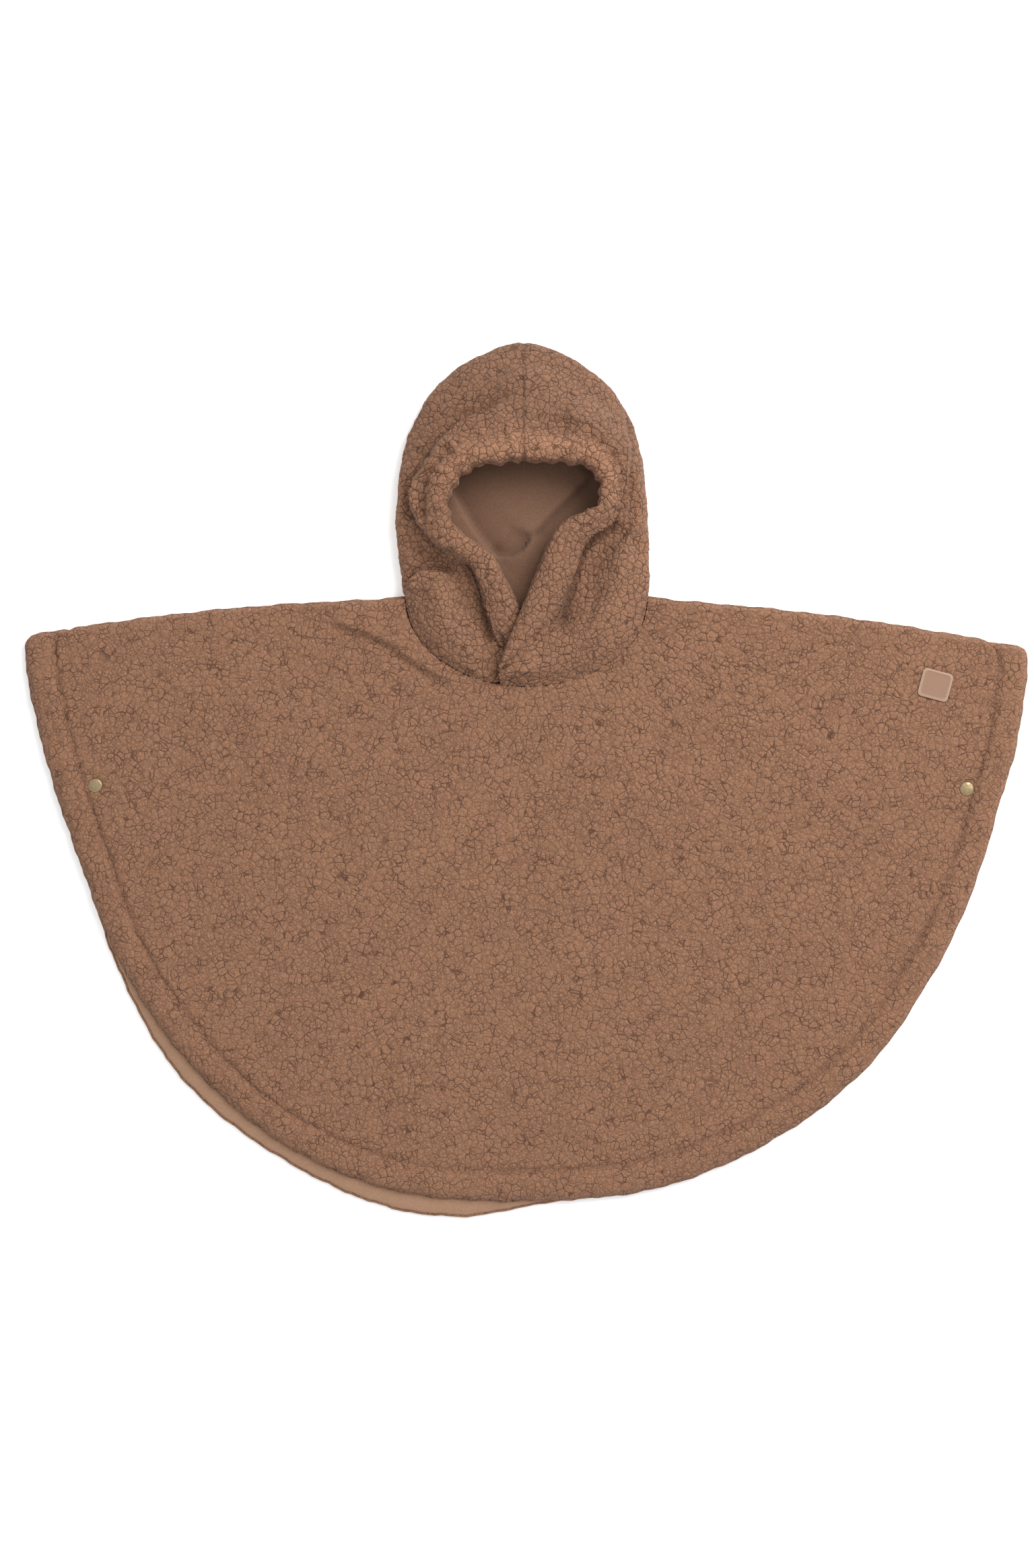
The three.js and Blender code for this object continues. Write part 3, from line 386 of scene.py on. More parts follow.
def fold_height(folds, x, y):
    total = np.zeros_like(x)
    for x0, y0, x1, y1, spread, height in zip(*(folds[name] for name in FOLD_COLUMNS.split())):
        dx, dy = x1 - x0, y1 - y0
        length = math.hypot(dx, dy)
        along = ((x - x0) * dx + (y - y0) * dy) / length
        aside = ((x - x0) * dy - (y - y0) * dx) / length
        past = np.maximum(0, np.maximum(-along, along - length))
        total += height * bell(aside, spread) * bell(past, spread * 1.6)
    return total


def beside_line(line, x, y):
    """Signed distance from a line of places, more than 0 on its left hand, and the share along it."""
    ends = np.array(line, float)
    lengths = np.hypot(*np.diff(ends, axis=0).T)
    run = np.concatenate([[0], np.cumsum(lengths)])
    nearest, along = np.full(np.shape(x), 1e9), np.zeros(np.shape(x))
    for (ax, ay), (bx, by), length, before in zip(ends[:-1], ends[1:], lengths, run):
        dot = ((x - ax) * (bx - ax) + (y - ay) * (by - ay)) / length
        cross = ((bx - ax) * (y - ay) - (by - ay) * (x - ax)) / length
        on = np.clip(dot, 0, length)
        away = np.hypot(cross, dot - on) * np.where(cross < 0, -1, 1)
        closer = np.abs(away) < np.abs(nearest)
        nearest, along = np.where(closer, away, nearest), np.where(closer, (before + on) / run[-1], along)
    return nearest, along


def crease_height(creases, x, y):
    total = np.zeros(np.shape(x))
    for one in creases.values():
        away, along = beside_line(one.line, x, y)
        left_hand = smooth(-one.ease, one.ease, away)
        up = one.rise * fading(away, one.reach)
        down = one.drop * fading(-away, one.fall)
        total += both_ends(along, CREASE_END_SHARE) * (left_hand * up - (1 - left_hand) * down)
    return total * CREASE_STRENGTH


def crease_shade(creases, x, y):
    """0 to 1: painted shade along the bottom of the creases that have a dark share."""
    total = np.zeros(np.shape(x))
    for one in creases.values():
        away, along = beside_line(one.line, x, y)
        ends = both_ends(along, DARK_END_SHARE)
        total = np.maximum(total, one.dark * ends * bell(away + DARK_SETBACK, DARK_SPREAD))
    return total


def hollow_height(x, y):
    away, along = beside_line(HOLLOW_LINE, x, y)
    top = mix(HOLLOW_LEFT, HOLLOW_RIGHT, smooth(*HOLLOW_CHANGE, along))
    wall = top * (1 - fading(-away, HOLLOW_REACH))
    within = smooth(*HOLLOW_SIDES, np.abs(x)) * smooth(*HOLLOW_CROWN, y)
    within = within * mix(NAPE_SHARE, 1, smooth(*HOLLOW_NAPE, y))
    folds = INNER_BASE + wall + crease_height(INNER_CREASES, x, y)
    return np.clip(folds, *INNER_RANGE) * within


def hollow_shade(x, y):
    """0 to 1: how much painted shade darkens the lining, most under the top rim and in the folds."""
    def beside(name, ease, reach):
        away, along = beside_line(INNER_CREASES[name].line, x, y)
        return smooth(-ease, ease, away) * fading(away, reach), along

    left, _ = beside("left flap", 1.5, 30)
    right, along_right = beside("right hollow", 4, 40)
    nape, along_nape = beside("nape fold", 1, 9)
    right *= smooth(0, 0.25, 1 - along_right)
    nape *= smooth(0, 0.1, along_nape) * smooth(0, 0.3, 1 - along_nape)
    total = LEFT_SHADE * left + RIGHT_SHADE * right + NAPE_SHADE * nape + TOP_SHADE * smooth(*TOP_SHADE_Y, y)
    return np.clip(total, 0, DEEPEST_SHADE)


def rounded(distance, radius):
    short = 1 - np.minimum(1, distance / radius)
    return np.maximum(EDGE_LEAST, np.sqrt(1 - short * short))


# Meshes

def mesh_object(name, points, faces, **attributes):
    """A mesh object from points in millimetres, with one value for each point in every attribute."""
    mesh = bpy.data.meshes.new(name)
    mesh.from_pydata((np.asarray(points) * MM).tolist(), [], faces)
    mesh.validate()
    mesh.update()
    for key, values in attributes.items():
        attribute = mesh.attributes.new(key, "FLOAT", "POINT")
        attribute.data.foreach_set("value", np.asarray(values, np.float32))
    mesh.shade_smooth()
    mesh.set_sharp_from_angle(angle=math.radians(SHARP_DEG))
    obj = bpy.data.objects.new(name, mesh)
    bpy.context.scene.collection.objects.link(obj)
    return obj


def grid_wall(outer, inner, kept):
    """Points, faces and the number of outer points of a closed wall between two grids of points."""
    rows, cols, _ = outer.shape
    index = np.arange(rows * cols).reshape(rows, cols)
    quads = [index[:-1, :-1], index[1:, :-1], index[1:, 1:], index[:-1, 1:]]
    offset = rows * cols
    top = np.stack(quads, -1)[kept]
    bottom = top[:, ::-1] + offset
    padded = np.pad(kept, 1)
    neighbours = [padded[1:-1, :-2], padded[2:, 1:-1], padded[1:-1, 2:], padded[:-2, 1:-1]]
    sides = []
    for side, neighbour in enumerate(neighbours):
        border = kept & ~neighbour
        a, b = quads[side][border], quads[(side + 1) % 4][border]
        sides.append(np.stack([a, a + offset, b + offset, b], -1))
    faces = np.concatenate([top, bottom, *sides])
    points = np.concatenate([outer.reshape(-1, 3), inner.reshape(-1, 3)])
    used, compact = np.unique(faces, return_inverse=True)
    return points[used], compact.reshape(-1, 4), used


# Body panels

def from_shoulders(degrees):
    return np.minimum(degrees - LEFT_WING_DEG, RIGHT_WING_DEG - degrees)


def hem_radius(side, degrees):
    full = curve_through(HEM["angle"], HEM[side], degrees)
    corner = np.where(degrees < 90, WING_CORNER_LEFT, WING_CORNER_RIGHT)
    into = np.clip(np.radians(from_shoulders(degrees)) * full / corner, 0, 1)
    uneven = HEM_WAVE * wobble(np.radians(degrees) * full / 4.4, 1.9 if side == "front" else 4.4)
    return full + uneven - corner * (1 - np.sqrt(1 - (1 - into) ** 2))


def panel_places(side, sections, steps, inset=PILE_INSET):
    """Places on a panel: sections by angle, and along each of them 0 at the neck and 1 at the hem."""
    degrees = np.linspace(LEFT_WING_DEG, RIGHT_WING_DEG, sections)[:, None]
    along = np.concatenate([np.linspace(0, 1, steps)[:-1], EDGE_STEPS])[None, :]
    share = (degrees - LEFT_WING_DEG) / (RIGHT_WING_DEG - LEFT_WING_DEG)
    radius = hem_radius(side, degrees) - inset
    hem_x = HUB[0] - radius * np.cos(np.radians(degrees))
    hem_y = HUB[1] - radius * np.sin(np.radians(degrees))
    neck_x = -(NECK_HALF_WIDTH + NECK_CLEARANCE) * np.cos(np.pi * share)
    if side == "front":
        neck_y = NECK_SHOULDER_Y - (NECK_FRONT_DEPTH + NECK_CLEARANCE) * np.sin(np.pi * share)
    else:
        dip = NECK_BACK_DIP * np.maximum(0, 1 - (neck_x / NECK_HALF_WIDTH) ** 2)
        neck_y = NECK_SHOULDER_Y - dip - NECK_CLEARANCE
    length = np.hypot(hem_x - neck_x, hem_y - neck_y)
    from_shoulder = from_shoulders(degrees)
    near_shoulder = np.exp(-from_shoulder / SHOULDER_FADE_DEG)
    bow = SHOULDER_BOW * np.sin(np.pi * along) * near_shoulder
    x = mix(neck_x, hem_x, along)
    y = mix(neck_y, hem_y, along) + bow - inset * near_shoulder * smooth(0, 0.1, along)
    pinch = SHOULDER_PINCH * bell((1 - along) * length - HEM_WIDTH, 5)
    pinch += HEM_WAVE * wobble(along * length / 5, 2.2)
    y -= pinch * np.exp(-from_shoulder / 2) * smooth(0, 0.06, along) * smooth(0, 0.02, 1 - along)
    shoulder = np.radians(from_shoulder) * np.hypot(x - HUB[0], y - HUB[1])
    return SimpleNamespace(x=x, y=y, hem=(1 - along) * length, neck=along * length, shoulder=shoulder)


def edge_share(p, radius):
    return rounded(np.minimum(p.hem, p.shoulder), radius)


def neck_sink(p):
    """How far the panel dips where it runs into the neck seam."""
    return NECK_SINK * (1 - rounded(p.neck, NECK_ROUND))


def perimeter(index):
    """The border of a grid of point numbers, in order and without repeats."""
    return np.concatenate([index[:-1, 0], index[-1, :-1], index[:0:-1, -1], index[0, :0:-1]])


def slab(name, places, top, bottom, flat_below=True, **attributes):
    """A closed panel: a grid on its shaped face, one ring round its edge and one face on its flat side."""
    rows, cols = top.shape
    grid = np.stack([places.x, places.y, top], -1).reshape(-1, 3)
    index = np.arange(rows * cols).reshape(rows, cols)
    border = perimeter(index)
    rim = grid[border].copy()
    along = np.roll(rim, -1, 0) - np.roll(rim, 1, 0)
    outward = np.stack([along[:, 1], -along[:, 0], np.zeros(len(rim))], -1)
    outward /= np.maximum(1e-6, np.linalg.norm(outward, axis=1))[:, None]
    turn = 1 if np.dot(outward[rows // 2], grid[border[rows // 2]] - [*HUB, 0]) > 0 else -1
    outward *= turn
    flat = rim - outward * FLAT_INSET
    flat[:, 2] = bottom
    bulge = rim.copy()
    bulge[:, 2] = mix(bottom, rim[:, 2], 0.55)
    count, around = len(grid), len(border)
    ring1 = count + np.arange(around)
    ring2 = ring1 + around
    faces = np.stack([index[:-1, :-1], index[:-1, 1:], index[1:, 1:], index[1:, :-1]], -1).reshape(-1, 4)
    def band(a, b):
        return np.stack([a, np.roll(a, -1), np.roll(b, -1), b], -1)
    sides = np.concatenate([band(border, ring1), band(ring1, ring2)])
    everything = [*faces.tolist(), *sides.tolist(), ring2.tolist()]
    if not flat_below:
        everything = [face[::-1] for face in everything]
    points = np.concatenate([grid, bulge, flat])
    extended = {key: np.concatenate([v.reshape(-1), v.reshape(-1)[border], np.zeros(around)])
                for key, v in attributes.items()}
    return mesh_object(name, points, everything, **extended)


def hem_relief(from_hem):
    half = HEM_WIDTH / 2
    puff = HEM_PUFF * np.sqrt(np.maximum(0, 1 - ((from_hem - half) / half) ** 2))
    return puff - STITCH_DEPTH * bell(from_hem - HEM_WIDTH, STITCH_SPREAD)


def label_share(x, y, margin):
    """1 under the label, falling to 0 at a margin outside it."""
    across, down = turned(x - LABEL_CENTRE[0], y - LABEL_CENTRE[1], -LABEL_TURN)
    outside = np.maximum(np.abs(across) - LABEL_SIZE[0] / 2, np.abs(down) - LABEL_SIZE[1] / 2)
    return 1 - smooth(0, margin, outside)


def front_panel():
    p = panel_places("front", FRONT_SECTIONS, FRONT_STEPS)
    middle = (FRONT_BOTTOM + FRONT_TOP) / 2
    top = middle + PANEL_THICKNESS / 2 * edge_share(p, EDGE_ROUND) - neck_sink(p)
    folds = fold_height(FRONT_FOLDS, p.x, p.y) + crease_height(FRONT_CREASES, p.x, p.y)
    top += (hem_relief(p.hem) + folds) * edge_share(p, RELIEF_ROUND)
    pile = np.ones_like(top)
    for x, y in STUDS.values():
        away = np.hypot(p.x - x, p.y - y)
        sunk = 1 - smooth(CAP_RADIUS - CAP_WELL_INSIDE, CAP_RADIUS + CAP_WELL_OUTSIDE, away)
        top = mix(top, CAP_BOTTOM - CAP_WELL_DEPTH, sunk)
        pile *= 1 - 0.9 * sunk
    pressed = label_share(p.x, p.y, LABEL_PRESS_REACH)
    top = mix(top, np.minimum(top, FRONT_TOP - LABEL_PRESS), pressed)
    pile *= 1 - pressed
    # Painted shade along the hem's stitch groove and beside the neck seam, carried by the seam attribute
    dip = bell(p.hem - HEM_WIDTH, STITCH_SPREAD)
    seam = np.maximum(dip * HEM_SEAM_SHADE, NECK_SEAM_SHADE * bell(p.neck, 2))
    obj = slab("fleece_front", p, top, FRONT_BOTTOM, pile=pile, seam=seam)
    return obj, p, top


def back_panel():
    p = panel_places("back", BACK_SECTIONS, BACK_STEPS, inset=BACK_INSET)
    bottom = BACK_TOP / 2 * (1 - edge_share(p, EDGE_ROUND))
    return slab("fleece_back", p, bottom, BACK_TOP - PANEL_RIM, flat_below=False, pile=np.ones_like(bottom))


def back_lining():
    p = panel_places("back", LINING_SECTIONS, LINING_STEPS, inset=BACK_LINING_INSET)
    base = BACK_TOP / 2 * (1 + edge_share(p, EDGE_ROUND)) + SEAM_GAP
    return slab("smooth_back", p, base + LINING, base.min() - LINING_RIM)


# Hood

def hood_section(rows, t):
    s = SimpleNamespace(**{name: column(rows, name, t) for name in HOOD_COLUMNS.split()})
    s.length = math.hypot(s.edgeX - s.tipX, s.edgeY - s.tipY)
    s.turn = min(s.turn, TURN_PER_DROP * (s.turnZ - s.edgeZ), SECTION.turn_of_length * s.length)
    s.lip_end = s.length - s.turn
    s.band = min(s.band, SECTION.band_of_top * s.lip_end)
    s.roll = min(SECTION.roll_of_band * s.band, SECTION.roll_of_length * s.length)
    s.hump = min(s.band + HUMP_SETBACK, s.lip_end - SECTION.hump_to_turn)
    behind_fold = min(s.fold + SECTION.low_past_fold, s.lip_end - SECTION.low_to_turn)
    s.low = max(s.hump + FOLD_RUN, behind_fold)
    s.sewn = float(smooth(SHOULDER_ROW - 0.2, SHOULDER_ROW + 1.2, t))
    return s


def hood_height(s, distance):
    far = max(s.low + SECTION.low_to_end, s.lip_end)
    spine = curve_through(
        [0, s.roll, s.hump, s.low, (s.low + far) / 2, far, far + SECTION.run_out],
        [s.rimZ - 1, s.rimZ, s.humpZ, s.lowZ, s.midZ, s.turnZ, s.turnZ - SECTION.run_out_drop], distance)
    rising = np.sqrt(1 - (1 - np.clip(distance / s.roll, 0, 1)) ** 2)
    over = np.clip((distance - s.lip_end) / s.turn, 0, 1)
    height = s.tipZ + (spine - s.tipZ) * rising
    free = s.edgeZ + (spine - s.edgeZ) * np.sqrt(1 - over * over)
    sewn = mix(spine, NECK_MEET, over ** 1.3)
    return np.where(distance > s.lip_end, mix(free, sewn, s.sewn), height)


def even_distances(s, count):
    """Distances from the tip that are evenly spaced along the section's own curve."""
    dense = np.linspace(0, s.length, 400)
    run = np.concatenate([[0], np.cumsum(np.hypot(np.diff(dense), np.diff(hood_height(s, dense))))])
    return np.interp(np.linspace(0, run[-1], count), run, dense)


def faded(distance, length):
    """1 over most of a section, going down to 0 at its tip and at its outer edge."""
    return np.clip(distance / SECTION.tip_fade, 0, 1) * np.clip((length - distance) / SECTION.edge_fade, 0, 1)


def centre_back(t):
    share = min(1, t / SHOULDER_ROW)
    return -3.6 * (1 - share), mix(CROWN_UNDER_Y, NECK_SHOULDER_Y - NECK_BACK_DIP, share)


def hood_grid(rows, side, fineness, gap):
    """The plain outer surface of one hood half: points, section data, and distances from the tip."""
    end_row = len(rows["tipX"]) - 1
    early = np.linspace(0, SHOULDER_ROW, fineness.early)
    ts = np.concatenate([early, np.linspace(SHOULDER_ROW, end_row, fineness.late)[1:]])
    half = gap / 2 * side
    turn_angles = np.linspace(0, np.pi / 2, fineness.turn + 1)[1:]
    flat_shares = np.linspace(0, 1, fineness.flat + 1)[1:]
    points = np.zeros((len(ts), fineness.top + fineness.turn + fineness.flat, 3))
    distances = np.zeros((len(ts), fineness.top))
    sections = []
    for i, t in enumerate(ts):
        s = hood_section(rows, t)
        sections.append(s)
        d = even_distances(s, fineness.top)
        distances[i] = d
        shift = half if i == 0 else 0
        slack = np.clip((GATHER_END - t) / GATHER_FADE, 0, 1) * min(1, t * 2)
        ripple = RIM_RIPPLE * slack * (math.cos(t * 7.1 + side) + 0.7 * math.sin(t * 4.3 + 2 * side)) / 1.7
        outline = HEM_WAVE * wobble(t * 5.3, side + 2) * (t < SHOULDER_ROW) * min(1, t)
        run = d + ripple * np.exp(-d / RIM_RIPPLE_REACH) + outline * np.exp((d - s.length) / OUTLINE_REACH)
        points[i, :fineness.top, 0] = s.tipX + (s.edgeX - s.tipX) * run / s.length + shift
        points[i, :fineness.top, 1] = s.tipY + (s.edgeY - s.tipY) * run / s.length
        plain = hood_height(s, d)
        bent = plain + faded(d, s.length) * crease_height(HOOD_CREASES, *points[i, :fineness.top, :2].T)
        points[i, :fineness.top, 2] = np.maximum(bent, np.minimum(plain, LOWEST_HOOD))
        if t > SHOULDER_ROW:
            points[i, fineness.top:] = [s.edgeX, s.edgeY, COLLAR_BOTTOM]
            continue
        back_x, back_y = centre_back(t)
        back_x += half
        edge_x = s.edgeX + shift
        turn_share = UNDER_TURN / math.hypot(s.edgeX - back_x, s.edgeY - back_y)
        share = np.concatenate([turn_share * (1 - np.cos(turn_angles)), mix(turn_share, 1, flat_shares)])
        x = mix(edge_x, back_x, share)
        rise = ((x - back_x) / (edge_x - back_x)) ** 2
        points[i, fineness.top:, 0] = x
        points[i, fineness.top:, 1] = mix(s.edgeY, back_y, share) if i == 0 else mix(back_y, s.edgeY, rise)
        points[i, fineness.top:fineness.top + fineness.turn, 2] = s.edgeZ * (1 - np.sin(turn_angles))
    return points, ts, sections, distances


def grid_normals(points, ts, side, fineness):
    top, shoulder = fineness.top, int(np.searchsorted(ts, SHOULDER_ROW + 1e-9)) - 1

    def across(block):
        return unit(np.cross(np.gradient(block, axis=0), np.gradient(block, axis=1)) * side)

    normals = np.zeros_like(points)
    normals[:, :top + 1] = across(points[:, :top + 1])
    normals[:shoulder + 1, top - 1:] = across(points[:shoulder + 1, top - 2:])[:, 1:]
    normals[:shoulder + 1, top + fineness.turn:] = [0, 0, -1]
    level = normals[shoulder + 1:, top - 1:top + 1].copy()
    level[:, :, 2] = 0
    level = unit(level)
    normals[shoulder + 1:, top] = level[:, 0]
    normals[shoulder + 1:, top - 1] = (level[:, 0] + [0, 0, 1]) / math.sqrt(2)
    normals[0, :, 0] = 0
    normals[:shoulder + 1, -1, 0] = 0
    normals = unit(normals)
    for _ in range(CALMING_ROUNDS):
        calm = normals[1:-1, 1:top - 1] * 2
        calm = calm + normals[:-2, 1:top - 1] + normals[2:, 1:top - 1]
        calm = calm + normals[1:-1, :top - 2] + normals[1:-1, 2:top]
        normals[1:-1, 1:top - 1] = unit(calm)
    return normals, shoulder


def hood_relief(points, ts, sections, distances, side):
    """Height that the roll, stitching, gathers and fold lips add to the outer surface, and the share of
    painted shade along the stitching, the crown seam and the creases.
    """
    def per_row(name):
        return np.array([getattr(s, name) for s in sections])[:, None]

    length, band, fold, lip = (per_row(name) for name in ("length", "band", "fold", "lip"))
    line = np.array([[s.tipX + (s.edgeX - s.tipX) * s.band / s.length,
                      s.tipY + (s.edgeY - s.tipY) * s.band / s.length] for s in sections])
    run = np.concatenate([[0], np.cumsum(np.linalg.norm(np.diff(line, axis=0), axis=1))])[:, None]
    fade = faded(distances, length)
    puff = BAND_PUFF * bell(distances - band * SECTION.puff_at, band * SECTION.puff_spread)
    stitching = bell(distances - band, STITCH_SPREAD)
    groove = HOOD_STITCH_DEPTH * (1 + 0.4 * wobble(run / 6, 2.0 + side))
    beyond = distances - fold
    before_lip = lip * LIP_SHARE * fading(-beyond, LIP_REACH)
    after_lip = lip * (LIP_SHARE - 1) * fading(beyond, LIP_REACH)
    slack = np.clip((GATHER_END - ts[:, None]) / GATHER_FADE, 0, 1)
    drift = GATHER_DRIFT * (distances - band) * wobble(run / 15, 4.0 + side)
    phase = 2 * np.pi * (run + drift + 4 * wobble(run / 21, 3 + side)) / GATHER_PITCH
    pucker = 0.75 * np.cos(phase) + 0.45 * np.cos(phase * 0.47 + 1.3 * side)
    pucker *= 0.75 + 0.45 * wobble(run / 8, 5.0)
    spread = GATHER_REACH * (1 + 0.4 * wobble(run / 12, 1.3 + side))
    gathers = GATHER_HEIGHT * pucker * bell(distances - band, spread)
    outer, rim = OUTER_GATHERS, RIM_GATHERS
    beyond_band = distances - band - outer.beyond_band
    gathers += outer.height * np.cos(phase * 0.53 + 1) * bell(beyond_band, outer.spread)
    gathers += rim.height * np.cos(phase * 0.71 + 0.8) * bell(distances - band * rim.of_band, rim.spread)
    gathers *= slack
    behind = smooth(-1, 3, distances - band) * fading(distances - band, CASING_FALL)
    lips = np.where(beyond < 0, before_lip, after_lip)
    relief = puff - groove * stitching - CASING_STEP * behind + lips + gathers
    relief = np.maximum(-DEEPEST_RELIEF, fade * relief)
    x, y = np.moveaxis(points[:, :distances.shape[1], :2], 2, 0)
    crown = bell(np.abs(x - CROWN_X), CROWN_SEAM_SPREAD) * (ts[:, None] < 1)
    relief -= CROWN_SEAM_DEPTH * crown
    # Painted shade at the bottoms of the creases, along the stitch line and along the crown seam
    dark = crease_shade(HOOD_CREASES, x, y)
    return relief, np.maximum(dark, np.maximum(stitching * HOOD_SEAM_SHADE, crown * CROWN_SEAM_SHADE))


def hood_shade(points, sections, distances):
    """How much painted shade the pile gets from the folds round it, below 0 (painted light) on the casing
    that stands proud of them.
    """
    band = np.array([s.band for s in sections])[:, None]
    y = points[:, :distances.shape[1], 1]
    proud = bell(distances - band * 0.5, band * 0.5) * smooth(*PROUD_Y, y)
    valley = smooth(*VALLEY_START, distances - band) * smooth(*VALLEY_Y, y)
    shade = np.zeros(points.shape[:2])
    shade[:, :distances.shape[1]] = VALLEY_SHADE * valley - PROUD_LIGHT * proud
    return shade


def pile_cover(points, ts, fineness):
    """How much pile the outer face has: none underneath, less near the floor and the crown seam."""
    from_crown = np.clip(np.abs(points[:, :, 0] - CROWN_X) / CROWN_COVER_REACH, CROWN_COVER, 1)
    cover = np.clip(points[:, :, 2] / COVER_HEIGHT, 0, 1) * np.where(ts[:, None] < 1, from_crown, 1)
    cover[:, fineness.top + fineness.turn:] = 0
    return cover


def hood_layer(name, rows, side, upper, lower, fineness, outer_face):
    gap = HOOD_SEAM_GAP if outer_face else LINING_SEAM_GAP
    points, ts, sections, distances = hood_grid(rows, side, fineness, gap)
    normals, shoulder = grid_normals(points, ts, side, fineness)
    relief, seam, raised = (np.zeros(points.shape[:2]) for _ in range(3))
    if outer_face:
        relief[:, :fineness.top], seam[:, :fineness.top] = hood_relief(points, ts, sections, distances, side)
    under = points[:shoulder + 1, fineness.top + 1:]
    raised[:shoulder + 1, fineness.top + 1:] = hollow_height(under[:, :, 0], under[:, :, 1])
    above = relief if outer_face else -upper - raised
    outer = points + normals * above[:, :, None]
    inner = points - normals * (lower + raised)[:, :, None]
    kept = np.ones((len(ts) - 1, points.shape[1] - 1), bool)
    kept[shoulder:, fineness.top:] = False
    if not outer_face:
        kept[:, :LINING_SETBACK] = False
    vertices, faces, used = grid_wall(outer, inner, kept)
    if side < 0:
        faces = faces[:, ::-1]

    def on_wall(outside, inside=None):
        inside = np.zeros_like(outside) if inside is None else inside
        return np.concatenate([outside.reshape(-1), inside.reshape(-1)])[used]

    if outer_face:
        cover = pile_cover(points, ts, fineness)
        tip = np.zeros_like(cover)
        tip[:, 0] = cover[:, 0]
        attributes = {"pile": on_wall(cover, tip), "seam": on_wall(seam), "loft": np.ones(len(vertices)),
                      "shade": on_wall(hood_shade(points, sections, distances))}
    else:
        attributes = {"shade": hollow_shade(vertices[:, 0], vertices[:, 1])}
    obj = mesh_object(name, vertices, faces.tolist(), **attributes)
    return obj, SimpleNamespace(outer=outer, normals=normals, sections=sections, distances=distances, ts=ts)


# Pile pattern, shared by the geometry and the material

PILE = SimpleNamespace(
    warp_size=0.012, warp=0.0037, curl_warp_size=0.0045, curl_warp=0.0015,
    tuft_size=0.0063, tuft_reach=0.36, crack_width=0.08, broken_size=0.013, broken_range=(0.4, 0.6, 0.5, 1.0),
    loft_crack=0.25, small_size=0.0029, small_width=0.16, small_share=0.5, small_patch=0.02,
    small_range=(0.35, 0.65, 0.5, 1.0), long_size=0.024, long_width=0.02, long_patch=0.034,
    long_range=(0.54, 0.64, 0.0, 0.8), curl_size=0.0022, curl_softness=0.4, curl_range=(0.15, 0.75, 1.0, 0.0),
    tuft_height=0.0003, crack_depth=0.0006, curl_height=0.0003, fuzz_size=0.0016, cloud_size=0.09)


class Tree:
    """Short calls for making and joining nodes of one node tree."""

    def __init__(self, tree):
        self.nodes, self.links = tree.nodes, tree.links

    def node(self, kind, inputs=(), **settings):
        node = self.nodes.new(kind)
        for key, value in settings.items():
            setattr(node, key, value)
        return self.fill(node, dict(inputs))

    def fill(self, node, inputs):
        for key, value in inputs.items():
            self.put(node.inputs[key], value)
        return node

    def put(self, socket, value):
        if isinstance(value, bpy.types.NodeSocket):
            self.links.new(value, socket)
        else:
            socket.default_value = value

    def math(self, operation, a, b=0.0, clamp=False):
        return self.node("ShaderNodeMath", {0: a, 1: b}, operation=operation, use_clamp=clamp).outputs[0]

    def times(self, a, b):
        return self.math("MULTIPLY", a, b)

    def plus(self, a, b, clamp=False):
        return self.math("ADD", a, b, clamp)

    def stored(self, name, output="Fac"):
        return self.node("ShaderNodeAttribute", attribute_name=name).outputs[output]

    def place(self):
        return self.node("ShaderNodeTexCoord").outputs["Object"]

    def bump(self, shader, height, strength, distance):
        node = self.node("ShaderNodeBump", {"Strength": strength, "Distance": distance, "Height": height})
        self.put(shader.inputs["Normal"], node.outputs["Normal"])

    def scaled(self, vector, factor):
        inputs = {0: vector, "Scale": factor}
        return self.node("ShaderNodeVectorMath", inputs, operation="SCALE").outputs[0]

    def added(self, a, b, operation="ADD"):
        return self.node("ShaderNodeVectorMath", {0: a, 1: b}, operation=operation).outputs[0]

    def noise(self, vector, size, detail=2.0, output="Fac", roughness=0.5):
        inputs = {"Vector": vector, "Scale": 1 / size, "Detail": detail, "Roughness": roughness}
        return self.node("ShaderNodeTexNoise", inputs).outputs[output]

    def voronoi(self, vector, size, feature, output="Distance", **inputs):
        inputs = {"Vector": vector, "Scale": 1 / size, **inputs}
        return self.node("ShaderNodeTexVoronoi", inputs, feature=feature).outputs[output]

    def ranged(self, value, low, high, to_low=0.0, to_high=1.0, kind="SMOOTHSTEP"):
        inputs = {"Value": value, "From Min": low, "From Max": high, "To Min": to_low, "To Max": to_high}
        return self.node("ShaderNodeMapRange", inputs, interpolation_type=kind).outputs["Result"]


